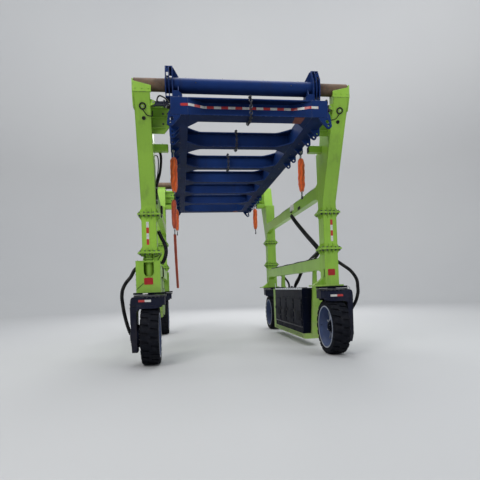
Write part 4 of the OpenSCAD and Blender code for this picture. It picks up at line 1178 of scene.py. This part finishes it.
def left_low_fittings():
    """Seams, stiffeners and covers of the suspension boxes and the fluid tank."""
    b = Build()
    for sy in (-1, 1):
        b.flip = (-1, sy)
        # stiffeners above the box round the column, cover bolts, slot edge
        for k in range(4):
            a = math.pi * (k + 0.5) / 2
            d = Vector((math.cos(a), math.sin(a), 0))
            c = Vector((SLEW_X, AXIS_Y, 2.109))
            t = Vector((-d.y, d.x, 0)) * 0.006
            b.prism([c + d * 0.100 - t, c + d * 0.170 - t, c + d * 0.170 - t + Vector((0, 0, 0.012)), c + d * 0.124 - t + Vector((0, 0, 0.041)), c + d * 0.100 - t + Vector((0, 0, 0.041))], 2 * t, 0)
        # upright ribs beside the column, with gussets out to the flange
        for y in (3.070, 2.818):
            for x in (1.842, 2.047):
                b.prism([(x, y - 0.020, 2.110), (x + 0.011, y - 0.020, 2.110), (x + 0.011, y + 0.032, 2.110), (x, y + 0.032, 2.110)], (0, 0, 0.178), 0)
            b.prism([(1.853, y, 2.112), (1.790, y, 2.112), (1.704, y, 2.246), (1.700, y, 2.289), (1.853, y, 2.289)], (0, 0.011, 0), 0)
            b.prism([(2.050, y, 2.205), (2.128, y, 2.250), (2.172, y, 2.262), (2.172, y, 2.289), (2.050, y, 2.289)], (0, 0.011, 0), 0)
            if y > 3:
                # painted shade: thin black pieces on the inner gusset stand in for the dark of its slots
                for x, z in ((1.745, 2.262), (1.775, 2.206)):
                    b.prism([(x - 0.030, 3.0815, z + 0.022), (x - 0.034, 3.0815, z + 0.010), (x + 0.050, 3.0815, z - 0.016), (x + 0.052, 3.0815, z - 0.002)], (0, 0.0012, 0), 4)
        for k in range(6):
            a = math.pi / 3 * (k + 0.5)
            b.bolt((1.950 + 0.111 * math.cos(a), AXIS_Y + 0.111 * math.sin(a), 2.1735), (0, 0, 1), 0.014, 0.008, 1, True)
        # blank plate on the slew ring's rim
        arc = [(SLEW_X + 0.3400 * math.cos(math.radians(t)), AXIS_Y + 0.3400 * math.sin(math.radians(t))) for t in (87, 84, 81, 78, 75, 72, 69)]
        for p, q in zip(arc, arc[1:]):
            b.prism([(p[0], p[1] - 0.001, 1.440), (q[0], q[1] - 0.001, 1.440), (q[0], q[1] + 0.002, 1.440), (p[0], p[1] + 0.002, 1.440)], (0, 0, 0.020), 5)
        u = [Vector((1.950 + 0.105 * math.cos(t), 3.166, 1.885 + 0.105 * math.sin(t))) for t in [math.pi + math.pi * i / 14 for i in range(15)]]
        b.tube([Vector((1.845, 3.166, 2.105))] + u + [Vector((2.055, 3.166, 2.105))], 0.007, 8, 0)
        b.tube(spline([(2.205, 3.160, 1.520), (2.190, 3.170, 1.545), (2.120, 3.171, 1.608), (2.060, 3.170, 1.662)], 4), 0.0045, 8, 4)
        loop_bead(b, 1.721, 2.209, 2.791, 3.164, 2.111, 0, 0.006)
        loop_bead(b, 1.722, 2.208, 2.792, 3.163, 1.472, 0, 0.006)
        for x in (1.76, 2.17):
            for y in (2.83, 3.12):
                b.bolt((x, y, 2.110), (0, 0, 1), 0.024, 0.013, 1, True)
        # side access plates with bolts
        for y0, y1, z0, z1 in ((2.86, 3.10, 1.60, 1.98),):
            b.box((2.209, y0, z0), (2.2145, y1, z1), 0)
            for i in range(4):
                for y in (y0 + 0.022, y1 - 0.022):
                    b.bolt((2.2140, y, z0 + 0.03 + (z1 - z0 - 0.06) * i / 3), (1, 0, 0), 0.014, 0.008, 1, True)
        for z in (1.62, 1.80, 1.98):
            b.box((1.7140, 2.82, z), (1.7215, 3.13, z + 0.012), 0)
        # grease nipples
        for z in (1.90, 2.16):
            b.disc_stack((1.950, 2.894, z), (0, -1, 0), [(0, 0.008), (0.008, 0.008), (0.010, 0.005), (0.018, 0.005), (0.021, 0.003)], 10, 1)
    b.flip = (-1, 1)
    # fluid tank: cap, sight glass, straps, drain, seams
    b.disc_stack((1.90, -0.45, 1.778), (0, 0, 1), [(0, 0.052), (0.006, 0.058), (0.030, 0.058), (0.036, 0.050)], 28, 2)
    for k in range(14):
        a = 2 * math.pi * k / 14
        b.box((-0.004, 0.055, 0.006), (0.004, 0.061, 0.032), 2, at=Matrix.Translation((1.90, -0.45, 1.778)) @ Matrix.Rotation(a, 4, "Z"), nob=True)
    b.disc_stack((1.88, -1.20, 1.778), (0, 0, 1), [(0, 0.036), (0.004, 0.040), (0.050, 0.040), (0.060, 0.028)], 24, 2)
    for y in (-1.30, -0.35):
        b.box((1.762, y - 0.030, 0.850), (1.7705, y + 0.030, 1.786), 1)
        b.box((2.0595, y - 0.030, 0.850), (2.068, y + 0.030, 1.786), 1)
        b.box((1.762, y - 0.030, 0.850), (2.068, y + 0.030, 0.8605), 1)
        b.box((1.762, y - 0.030, 1.7795), (2.068, y + 0.030, 1.788), 1)
        for z in (1.74, 0.90):
            b.bolt((1.762, y, z), (-1, 0, 0), 0.018, 0.010, 1, True)
    b.box((1.760, -0.66, 1.18), (1.7705, -0.61, 1.56), 2)
    b.tube([(1.758, -0.635, 1.20), (1.758, -0.635, 1.54)], 0.010, 10, 3)
    for z in (1.19, 1.55):
        b.bolt((1.760, -0.635, z), (-1, 0, 0), 0.020, 0.010, 1, False)
    b.disc_stack((1.92, -0.80, 0.862), (0, 0, -1), [(0, 0.022), (0.014, 0.022), (0.018, 0.016)], 6, 1)
    for x in (1.771, 2.059):
        b.bead([(x, -1.588, 0.87), (x, -1.588, 1.77)], 0.005, 0)
        b.bead([(x, -0.062, 0.87), (x, -0.062, 1.77)], 0.005, 0)
    for y in (-1.58, -0.07):
        b.bead([(1.78, y, 1.779), (2.05, y, 1.779)], 0.005, 0)
    # return line from the tank up to the tie beam, with elbows
    b.tube(spline([(1.86, -0.95, 1.775), (1.86, -0.95, 1.805), (1.845, -0.95, 1.825), (1.80, -0.95, 1.832), (1.757, -0.95, 1.850), (1.751, -0.95, 1.95), (1.757, -0.95, 2.06), (1.79, -0.95, 2.112)], 6), 0.016, 12, 4)
    b.object("left_low_fittings", "left_side", [GREEN_LOW, BOLT, PLASTIC, LENS, HOSE, LABEL], bevel=0.002, segments=1, angle=50)


def right_low_fittings():
    """Doors, ribs, strip and ledges of the power box, and seams of its cradle."""
    b = Build()
    # bright strip on the inner top edge, turned up at its rear end
    b.prism([(1.670, -1.580, 1.402), (1.688, -1.580, 1.402), (1.688, -1.580, 1.446), (1.676, -1.580, 1.446)], (0, 2.96, 0), 1)
    b.prism([(1.678, 1.375, 1.418), (1.688, 1.375, 1.418), (1.688, 1.375, 1.600), (1.678, 1.375, 1.600)], (0, 0.026, 0), 1)
    for i in range(13):
        b.bolt((1.673, -1.50 + i * 0.235, 1.424), (-1, 0, 0), 0.013, 0.006, 2, True)
    # row of bolts and ledges on the inner face
    for i in range(17):
        b.bolt((1.686, -1.50 + i * 0.178, 1.200), (-1, 0, 0), 0.018, 0.010, 2, True)
    # the ledge along the bottom of the inner face is real; its light bolt-steel colour is a painted highlight along it
    b.prism([(1.686, -1.575, 0.438), (1.660, -1.575, 0.446), (1.660, -1.575, 0.462), (1.686, -1.575, 0.470)], (0, 3.0, 0), 2)
    for y0, y1 in ((-1.52, -0.80), (-0.74, -0.02), (0.04, 0.70), (0.76, 1.40)):
        # a framed door with hinges, lock and ribs
        b.box((1.672, y0, 0.500), (1.6855, y1, 1.165), 0)
        b.box((1.666, y0 + 0.030, 0.530), (1.6725, y1 - 0.030, 1.135), 0)
        for z in (0.62, 1.04):
            b.disc_stack((1.670, y0 - 0.004, z), (0, 0, 1), [(0, 0.009), (0.050, 0.009)], 10, 2)
        b.box((1.656, y1 - 0.110, 0.80), (1.667, y1 - 0.060, 0.90), 3)
        b.tube(spline([(1.656, y1 - 0.085, 0.815), (1.640, y1 - 0.085, 0.83), (1.640, y1 - 0.085, 0.87), (1.656, y1 - 0.085, 0.885)], 4), 0.006, 8, 2)
        for k in range(9):
            z = 0.62 + k * 0.030
            b.prism([(1.667, y0 + 0.08, z), (1.656, y0 + 0.08, z - 0.006), (1.656, y0 + 0.08, z - 0.010), (1.667, y0 + 0.08, z - 0.016)], (0, 0.34 if y1 - y0 > 0.70 else 0.30, 0), 0)
    # end and outer faces: louvres, panels
    b.box((1.715, -1.586, 0.56), (1.965, -1.5795, 1.20), 0)
    for y0, y1 in ((-1.50, -0.56), (-0.50, 0.44), (0.50, 1.38)):
        b.box((1.9895, y0, 0.42), (1.998, y1, 1.34), 0)
        for k in range(12):
            z = 0.95 + k * 0.027
            b.prism([(1.997, y0 + 0.10, z), (2.006, y0 + 0.10, z - 0.005), (2.006, y0 + 0.10, z - 0.009), (1.997, y0 + 0.10, z - 0.015)], (0, 0.60, 0), 0)
        for y in (y0 + 0.05, y1 - 0.05):
            for z in (0.47, 0.88, 1.29):
                b.bolt((1.9975, y, z), (1, 0, 0), 0.016, 0.008, 2, True)
    # top: exhaust stub, filler, lids
    b.box((1.73, -1.20, 1.437), (1.95, -0.50, 1.452), 0)
    b.box((1.73, 0.10, 1.437), (1.95, 0.90, 1.452), 0)
    for y in (-1.16, -0.54, 0.14, 0.86):
        for x in (1.75, 1.93):
            b.bolt((x, y, 1.4515), (0, 0, 1), 0.014, 0.007, 2, True)
    b.disc_stack((1.88, 1.18, 1.437), (0, 0, 1), [(0, 0.050), (0.008, 0.054), (0.030, 0.054), (0.036, 0.046)], 24, 3)
    b.tube([(1.80, -0.20, 1.437), (1.80, -0.20, 1.50)], 0.034, 20, 2)
    for y in (-0.32, -0.08):
        b.disc_stack((1.765, y, 1.437), (0, 0, 1), [(0, 0.020), (0.030, 0.020), (0.034, 0.014)], 6, 2)
    # ribs along the cradle rail, post seams, hanger bolts
    for i in range(23):
        y = -1.52 + i * 0.132
        b.prism([(1.6805, y, 0.204), (1.6788, y, 0.204), (1.6788, y + 0.085, 0.284), (1.6805, y + 0.085, 0.284)], (0, 0.042, 0), 3)
    b.prism([(1.6805, -1.68, 0.290), (1.6770, -1.68, 0.292), (1.6770, -1.68, 0.301), (1.6805, -1.68, 0.3015)], (0, 3.36, 0), 4)
    b.prism([(1.6805, -1.68, 0.181), (1.6770, -1.68, 0.183), (1.6770, -1.68, 0.192), (1.6805, -1.68, 0.195)], (0, 3.36, 0), 4)
    for sy in (-1, 1):
        b.flip = (1, sy)
        for z in (1.88, 1.96, 2.04):
            for x in (1.93, 2.01):
                b.bolt((x, 1.690, z), (0, 1, 0), 0.030, 0.016, 2, True)
        b.bead([(1.971, 1.691, 1.838), (2.058, 1.691, 1.838)], 0.006, 4)
        b.bead([(1.872, 1.691, 0.182), (1.970, 1.691, 1.80)], 0.006, 4)
        b.bead([(2.061, 1.600, 0.32), (2.061, 1.600, 2.08)], 0.005, 4)
        b.bead([(1.684, 1.691, 0.182), (2.056, 1.691, 0.182)], 0.005, 4)
        for z in (0.60, 1.00, 1.40):
            b.prism([(1.90, 1.689, z), (2.05, 1.689, z), (2.05, 1.704, z), (1.90, 1.704, z)], (0, 0, 0.010), 4)
    b.flip = (1, 1)
    b.object("right_low_fittings", "right_side", [BLACK, BARE, BOLT, PLASTIC, GREEN_LOW], bevel=0.002, segments=1, angle=50)


def steer_fittings(sx, sy):
    """Bolt rings, bands, hub cover and arm ribs of one corner."""
    k = f"{END[sy]}_{SIDE[sx]}"
    b = Build()
    b.flip = (sx, sy)
    for j in range(24):
        a = 2 * math.pi * (j + 0.5) / 24
        b.bolt((SLEW_X + 0.316 * math.cos(a), AXIS_Y + 0.316 * math.sin(a), 1.3855), (0, 0, -1), 0.022, 0.014, 1, True, spin=a) if math.cos(a) < 0.55 else None
    b.turn([(1.3855, 0.3305), (1.3900, 0.3335), (1.4165, 0.3335), (1.4205, 0.3305)], (SLEW_X, AXIS_Y, 0), (0, 0, 1), 72, 1)
    # front bands on the crown
    x0, x1, zb = (1.916, 2.168, 1.283) if sx < 0 else (1.822, 2.096, 1.246)
    path = []
    for i in range(13):
        x = x0 + (x1 - x0) * i / 12
        y = math.sqrt(0.3006 ** 2 - (x - SLEW_X) ** 2)
        y = y if x < SLEW_X else max(y, 0.3006 - 0.050 * (x - SLEW_X) / 0.380)
        path.append((x, AXIS_Y + y))
    strip(b, path, zb, zb + 0.044, -0.0016, 2, 0.5, 1.002 * length_of([Vector((p[0], p[1], 0)) for p in path]))
    # arched skirts below the crown, in front of and behind the tyre
    for q in (-1, 1):
        edge = [(1.715, 0.186, 1.172), (1.76, 0.230, 1.158), (1.82, 0.268, 1.150), (1.88, 0.290, 1.146), (1.95, 0.2995, 1.144), (2.03, 0.2895, 1.146), (2.10, 0.280, 1.146), (2.16, 0.272, 1.136), (2.20, 0.267, 1.112), (2.225, 0.2635, 1.060)]
        verts, n = [], len(edge)
        for x, y, z in edge:
            for yy, zz in ((y, z), (y - 0.012, z), (y - 0.012, 1.207), (y, 1.207)):
                verts.append((x, AXIS_Y + q * yy, zz))
        faces = [(i * 4 + k, i * 4 + 4 + k, i * 4 + 4 + (k + 1) % 4, i * 4 + (k + 1) % 4) for i in range(n - 1) for k in range(4)] + [(0, 1, 2, 3), tuple((n - 1) * 4 + k for k in (3, 2, 1, 0))]
        b.add(verts, faces if q > 0 else [f[::-1] for f in faces], 0)
    # hollow fillet between the crown's underside and the arm
    edge = [(2.221, 1.206), (2.120, 1.206)] + [(2.120 + 0.100 * math.sin(t), 1.105 + 0.100 * math.cos(t)) for t in [math.pi / 2 * i / 8 for i in range(9)]]
    b.prism([(x, AXIS_Y - 0.262, z) for x, z in edge], (0, 0.524, 0), 0)
    # hub cover on the arm's outer face, with bolts and ribs
    c = (2.3295, AXIS_Y, 0.589)
    b.turn([(0.0, 0.0), (0.0, 0.155), (0.012, 0.155), (0.018, 0.148), (0.018, 0.096), (0.030, 0.090), (0.040, 0.070), (0.043, 0.0)], c, (1, 0, 0), 40, 0, closed=False)
    for j in range(10):
        a = 2 * math.pi * j / 10
        b.bolt((2.3475, AXIS_Y + 0.126 * math.cos(a), 0.589 + 0.126 * math.sin(a)), (1, 0, 0), 0.022, 0.012, 1, True, spin=a)
    for y in (-0.150, 0.138):
        b.prism([(2.3295, AXIS_Y + y, 0.80), (2.3295, AXIS_Y + y, 1.21), (2.349, AXIS_Y + y, 1.17), (2.349, AXIS_Y + y, 0.84)], (0, 0.012, 0), 0)
    for z in (0.93, 1.10):
        b.prism([(2.3295, AXIS_Y - 0.150, z), (2.3295, AXIS_Y + 0.150, z), (2.340, AXIS_Y + 0.150, z), (2.340, AXIS_Y - 0.150, z)], (0, 0, 0.010), 0)
    for z in (1.160, 1.238):
        for y in (-0.20, -0.07, 0.07, 0.20):
            b.bolt((2.3295, AXIS_Y + y, z), (1, 0, 0), 0.026, 0.014, 1, True)
    # seams of the arm and crown
    for q in (-1, 1):
        b.bead([(2.221, AXIS_Y + q * 0.248, 1.38), (2.221, AXIS_Y + q * 0.214, 0.90), (2.221, AXIS_Y + q * 0.204, 0.42)], 0.005, 0)
        b.bead([(2.329, AXIS_Y + q * 0.238, 1.24), (2.329, AXIS_Y + q * 0.214, 0.90), (2.329, AXIS_Y + q * 0.204, 0.42)], 0.005, 0)
    # hose port block on the arm
    z = 0.656 if sx < 0 else 0.930
    b.box((2.3295, AXIS_Y - 0.045, z - 0.045), (2.3600, AXIS_Y + 0.045, z + 0.045), 1) if sx > 0 else b.box((2.345, AXIS_Y - 0.035, z - 0.035), (2.366, AXIS_Y + 0.035, z + 0.035), 1)
    # hub motor: cooling ribs, flange bolts
    for j in range(12):
        a = 2 * math.pi * (j + 0.5) / 12
        b.bolt((2.1805, AXIS_Y + 0.212 * math.cos(a), 0.589 + 0.212 * math.sin(a)), (-1, 0, 0), 0.020, 0.012, 1, True, spin=a)
    for x in (2.075, 2.097, 2.119, 2.141, 2.163):
        b.turn([(x - 0.004, 0.189), (x - 0.004, 0.1975), (x + 0.004, 0.1975), (x + 0.004, 0.189)], (0, AXIS_Y, 0.589), (1, 0, 0), 48, 3)
    if sx > 0:
        # small bow shackle stored on the crown
        b.tube(spline([(2.271, AXIS_Y + 0.228, 1.384), (2.274, AXIS_Y + 0.228, 1.415), (2.266, AXIS_Y + 0.228, 1.438), (2.246, AXIS_Y + 0.228, 1.446), (2.226, AXIS_Y + 0.228, 1.438), (2.218, AXIS_Y + 0.228, 1.415), (2.221, AXIS_Y + 0.228, 1.384)], 4), 0.008, 10, 4)
        b.tube([(2.209, AXIS_Y + 0.228, 1.394), (2.283, AXIS_Y + 0.228, 1.394)], 0.0075, 10, 4)
    b.object(f"{k}_steer_fittings", f"{k}_steer", [FORK, BOLT, TAPE, BLACK, ZINC], bevel=0.002, segments=1, angle=50)


def chain(b, loop, m, link=0.074, wire=0.0088):
    """Links laid along a closed loop of points, every second one turned."""
    pts = [Vector(p) for p in loop] + [Vector(loop[0])]
    total = length_of(pts)
    count = int(total / (link * 0.74) / 2) * 2
    gap = total / count
    where, walked, i = [], 0.0, 0
    for a, c in zip(pts, pts[1:]):
        seg = (c - a).length
        while i < count and i * gap < walked + seg:
            where.append((a.lerp(c, (i * gap - walked) / seg), (c - a).normalized()))
            i += 1
        walked += seg
    for i, (p, d) in enumerate(where):
        u = Vector((1, 0, 0))
        w = d.cross(u).normalized()
        u, w = (u, w) if i % 2 else (w, u)
        b.tube([p + d * (link / 2 * math.cos(t)) + u * (link * 0.33 * math.sin(t)) for t in [2 * math.pi * q / 10 for q in range(10)]], wire, 6, m, closed=True)


def frame_fittings():
    b = Build()
    mats = [NAVY, BOLT, TAPE, RED_UNDER_PATCH, CHAIN, PLASTIC, HOSE, ZINC, CYL]
    for sy in (-1, 1):
        # reflecting band along the web of the end beam, on both chamfers and the straight part
        b.flip = (1, -sy)
        path = [(-1.225, -4.6805, -0.030), (-1.085, -4.6805, -0.026), (-0.810, -4.5105, 0), (0.810, -4.5105, 0), (1.085, -4.6805, -0.026), (1.225, -4.6805, -0.030)]
        strip(b, path, 4.683, 4.728, 0.0018, 2, 0.0, 0.2545)
        b.bead([(-1.08, -4.676, 4.524), (-0.812, -4.509, 4.524), (0.812, -4.509, 4.524), (1.08, -4.676, 4.524)], 0.006, 0)
        b.bead([(-1.08, -4.676, 4.786), (-0.812, -4.509, 4.786), (0.812, -4.509, 4.786), (1.08, -4.676, 4.786)], 0.006, 0)
        for x in (-0.812, 0.768):
            b.bead([(x, -4.5095, 4.53), (x, -4.5095, 4.78)], 0.005, 0)
        # dark red patch under the beam
        b.prism([(0.79, -4.66, 4.4985), (0.975, -4.66, 4.4985), (0.975, -4.375, 4.4985), (0.815, -4.375, 4.4985)], (0, 0, 0.002), 3)
        # pin fitting at the outer side of each beam end
        for x in (-1, 1):
            b.disc_stack((x * 1.3995, -4.58, 4.667), (x, 0, 0), [(0, 0.040), (0.008, 0.044), (0.020, 0.044), (0.026, 0.030), (0.055, 0.030), (0.060, 0.024)], 20, 5)
            b.bolt((x * 1.4590, -4.58, 4.667), (x, 0, 0), 0.034, 0.018, 1, False)
            b.disc_stack((x * 1.3995, -4.50, 4.745), (x, 0, 0), [(0, 0.020), (0.030, 0.020), (0.034, 0.014)], 6, 1)
    b.flip = (1, 1)
    # chains lashed round three crossbeams
    for x, y0, y1 in ((-0.012, -4.700, -4.352), (-0.052, -3.093, -2.867), (-0.057, -1.523, -1.297)):
        mid = (y0 + y1) / 2
        loop = [(x, y0 - 0.012, 4.486), (x + 0.006, y0 - 0.016, 4.66), (x, y0 - 0.010, 4.838), (x, mid, 4.842), (x - 0.004, y1 + 0.010, 4.838), (x, y1 + 0.014, 4.66), (x, y1 + 0.010, 4.486), (x + 0.004, mid, 4.452)]
        chain(b, loop, 4)
        ring(b, x + 0.004, y0 - 0.020, 4.60, 0.016, 0.036, 0.009, 4)
    # web to side beam seams of the middle beams
    for y in (-2.98, -1.41, 0.0, 1.41, 2.98):
        for sx in (-1, 1):
            for q in (-1, 1):
                b.bead([(sx * 1.0990, y + q * 0.016, 4.53), (sx * 1.0990, y + q * 0.016, 4.78)], 0.006, 0)
                b.bead([(sx * 0.02, y + q * 0.015, 4.526), (sx * 1.09, y + q * 0.015, 4.526)], 0.004, 0)
    # side beams: seams, drain plugs, cable duct on the inner top edge
    for sx, sy in CORNERS:
        b.flip = (sx, sy)
        b.bead([(1.399, 0.0, 4.812), (1.399, 3.70, 4.812)], 0.005, 0)
        b.bead([(1.101, 0.0, 4.812), (1.101, 3.70, 4.812)], 0.005, 0)
        b.bead([(1.399, 0.0, 4.499), (1.399, 4.66, 4.499)], 0.005, 0)
        b.bead([(1.101, 0.12, 4.499), (1.101, 4.36, 4.499)], 0.005, 0)
        for y in (1.88, 2.36, 2.93, 3.49, 3.88, 4.07):
            for q in (-0.016, 0.016):
                b.bead([(1.262, y + q, 4.499), (1.398, y + q, 4.499)], 0.0055, 0)
                b.bead([(1.4010, y + q, 4.50), (1.4010, y + q, 4.605)], 0.0055, 0)
            if y != 2.93:
                b.turn([(-0.0175, 0.0215), (-0.0175, 0.033), (0.0175, 0.033), (0.0175, 0.0215)], (LUG_X, y, LUG_Z), (0, 1, 0), 24, 0)
        for y in (0.55, 1.45, 2.6, 3.3):
            b.disc_stack((1.250, y, 4.501), (0, 0, -1), [(0, 0.016), (0.008, 0.016), (0.010, 0.012)], 6, 1)
        b.box((1.118, 0.0, 4.809), (1.168, 4.40, 4.826), 0)
        for dx, r in ((1.130, 0.0095), (1.154, 0.0075)):
            b.tube([(dx, y, 4.832 + 0.003 * math.sin(7 * y)) for y in [4.36 * i / 34 for i in range(35)]], r, 8, 6)
        for i in range(9):
            y = 0.22 + i * 0.50
            b.box((1.112, y - 0.010, 4.808), (1.174, y + 0.010, 4.8455), 7)
        # access covers on the outer face
        for y in (0.70, 1.60):
            b.box((1.3995, y - 0.16, 4.58), (1.4050, y + 0.16, 4.74), 0)
            for u in (-0.14, -0.05, 0.05, 0.14):
                for z in (4.595, 4.725):
                    b.bolt((1.4045, y + u, z), (1, 0, 0), 0.014, 0.007, 1, True)
        # lifting eye on the beam's top
        b.prism([(1.240, 4.42, 4.809), (1.240, 4.54, 4.809), (1.240, 4.52, 4.89), (1.240, 4.50, 4.905), (1.240, 4.46, 4.905), (1.240, 4.44, 4.89)], (0.020, 0, 0), 0)
        b.turn([(-0.013, 0.014), (-0.013, 0.024), (0.013, 0.024), (0.013, 0.014)], (1.250, 4.48, 4.870), (1, 0, 0), 18, 5)
        # sleeve end collars and grease nipples
        for x in (1.215, 1.330):
            b.turn([(x - 0.004, 0.1395), (x - 0.004, 0.1445), (x + 0.004, 0.1445), (x + 0.004, 0.1395)], (0, TUBE_Y, TUBE_Z), (1, 0, 0), 48, 0)
        b.disc_stack((0.92, TUBE_Y + 0.138, TUBE_Z), (0, 1, 0), [(0, 0.010), (0.010, 0.010), (0.012, 0.006), (0.022, 0.006), (0.026, 0.004)], 10, 1)
        for x in (1.455, 1.100, 0.40):
            b.disc_stack((x, TUBE_Y, TUBE_Z + 0.138), (0, 0, 1), [(0, 0.010), (0.010, 0.010), (0.012, 0.006), (0.022, 0.006), (0.026, 0.004)], 10, 1) if x != 1.455 else None
        # bolts and ribs of the brackets
        for y in (-0.165, -0.140, 0.140, 0.165):
            for z in (4.88, 5.20):
                b.bolt((1.3455, TUBE_Y + y * 0.98, z), (-1, 0, 0), 0.018, 0.010, 1, True)
        for y in (-0.10, 0.10):
            b.bolt((1.2395, TUBE_Y + y, 4.88), (-1, 0, 0), 0.022, 0.012, 1, True)
        b.box((1.366, TUBE_Y - 0.006, 5.560), (1.409, TUBE_Y + 0.006, 5.694), 0)
        for x0, x1 in ((1.427, 1.471),):
            for y in (-0.150, 0.138):
                b.box((x0, TUBE_Y + y, 5.560), (x1, TUBE_Y + y + 0.012, 5.640), 0)
        for x in (1.39, 1.45):
            for y in (-0.045, 0.045):
                b.bolt((x, TUBE_Y + y, 5.7195), (0, 0, 1), 0.020, 0.010, 1, True) if False else b.disc_stack((x, TUBE_Y + y, 5.7185), (0, 0, 1), [(0, 0.011), (0.003, 0.009)], 10, 1)
        for y in (-0.191, 0.191):
            b.bead([(1.182, TUBE_Y + y, 4.812), (1.364, TUBE_Y + y, 4.812)], 0.006, 0)
        b.bead([(1.239, TUBE_Y - 0.17, 4.812), (1.239, TUBE_Y + 0.17, 4.812)], 0.006, 0)
        # cylinder: gland bolts, ports, pipes and hoses down to the beam
        for j in range(8):
            a = 2 * math.pi * (j + 0.5) / 8
            b.bolt((1.7195, TUBE_Y + 0.046 * math.cos(a), CYL_Z + 0.046 * math.sin(a)), (1, 0, 0), 0.009, 0.005, 1, False, spin=a)
        for j in range(8):
            a = 2 * math.pi * j / 8
            b.bolt((1.5300, TUBE_Y + 0.062 * math.cos(a), CYL_Z + 0.062 * math.sin(a)), (1, 0, 0), 0.014, 0.009, 1, True, spin=a)
        for x in (0.870, 1.650):
            b.disc_stack((x, TUBE_Y + 0.040, CYL_Z + 0.020), (0, 0.9, 0.44), [(0, 0.020), (0.012, 0.020), (0.014, 0.014), (0.030, 0.014)], 8, 1)
        b.tube([(0.835, TUBE_Y, CYL_Z), (0.800, TUBE_Y, CYL_Z)], 0.036, 20, 8)
        b.tube(spline([(1.650, TUBE_Y + 0.066, 5.032), (1.640, TUBE_Y + 0.120, 5.070), (1.600, TUBE_Y + 0.200, 5.080), (1.540, TUBE_Y + 0.300, 5.020), (1.470, TUBE_Y + 0.400, 4.930), (1.430, TUBE_Y + 0.440, 4.860), (1.405, TUBE_Y + 0.450, 4.790)], 6), 0.014, 10, 6)
        b.tube(spline([(0.870, TUBE_Y + 0.066, 5.032), (0.900, TUBE_Y + 0.110, 5.040), (1.000, TUBE_Y + 0.150, 4.990), (1.080, TUBE_Y + 0.180, 4.900), (1.140, TUBE_Y + 0.200, 4.850), (1.155, TUBE_Y + 0.260, 4.842), (1.155, TUBE_Y + 0.400, 4.840)], 6), 0.014, 10, 6)
        b.disc_stack((1.4000, TUBE_Y + 0.450, 4.775), (1, 0, 0), [(0, 0.024), (0.022, 0.024), (0.026, 0.016)], 6, 1)
    b.flip = (1, 1)
    b.object("top_frame_fittings", "top_frame", mats, bevel=0.002, segments=1, angle=50)


for sx in (-1, 1):
    side_frame(sx)
left_low_fittings()
right_low_fittings()
for sx, sy in CORNERS:
    steer_fittings(sx, sy)
frame_fittings()


# ------------------------------------------------------------------ floor, light and world
def studio():
    n = Nodes("studio_floor")
    a = n.noise(0.08, 2)
    mat = n.done(n.mix(n.span(a, 0.3, 0.7), srgb(190, 190, 190), srgb(187, 187, 188)), n.span(a, 0.0, 1.0, 0.62, 0.70), Specular_IOR_Level=0.15)
    b = Build()
    ring_n, flat = 96, 22.0
    prof = [(0.0, 0.0), (0.0, flat)] + [(14.0 * (1 - math.cos(t)), flat + 14.0 * math.sin(t)) for t in [math.radians(q) for q in range(3, 91, 3)]] + [(44.0, flat + 14.0)]
    b.turn(prof, (0, 0, 0), (0, 0, 1), ring_n, 0, True, closed=False)
    me = bpy.data.meshes.new("studio_floor")
    me.from_pydata([tuple(v) for v in b.v], [], b.f)
    me.materials.append(mat)
    me.polygons.foreach_set("use_smooth", [True] * len(me.polygons))
    ob = bpy.data.objects.new("studio_floor", me)
    scene.collection.objects.link(ob)
    return ob


floor = studio()
floor.visible_shadow = False

world = bpy.data.worlds.new("studio")
scene.world = world
world.use_nodes = True
bg = world.node_tree.nodes["Background"]
bg.inputs[0].default_value = (0.86, 0.93, 1.0, 1)
bg.inputs[1].default_value = 0.85


def area(name, at, to, size, power, colour=(1, 1, 1)):
    d = bpy.data.lights.new(name, "AREA")
    d.shape = "RECTANGLE"
    d.size, d.size_y = size
    d.energy = power
    d.color = colour
    o = bpy.data.objects.new(name, d)
    scene.collection.objects.link(o)
    o.location = at
    o.rotation_euler = (Vector(to) - Vector(at)).to_track_quat("-Z", "Y").to_euler()
    return o


area("key", (-9.0, -13.0, 12.0), (0, 0, 2.8), (7, 7), 1150, (1.0, 0.98, 0.95))
area("fill", (11.0, -10.0, 7.0), (0, 0, 2.5), (8, 6), 480, (0.92, 0.96, 1.0))
area("top", (0.0, 0.0, 15.0), (0, 0, 0), (9, 12), 1150)
area("back", (5.0, 14.0, 10.0), (0, 0, 3.0), (8, 6), 800)
area("wall", (4.0, 8.0, 30.0), (4.0, 38.0, 21.0), (34, 10), 6000)
scene.view_settings.view_transform = "Standard"
scene.view_settings.look = "None"

missing = sorted(set(frame["nodes"]) - USED)
print("nodes without a finish:", missing)
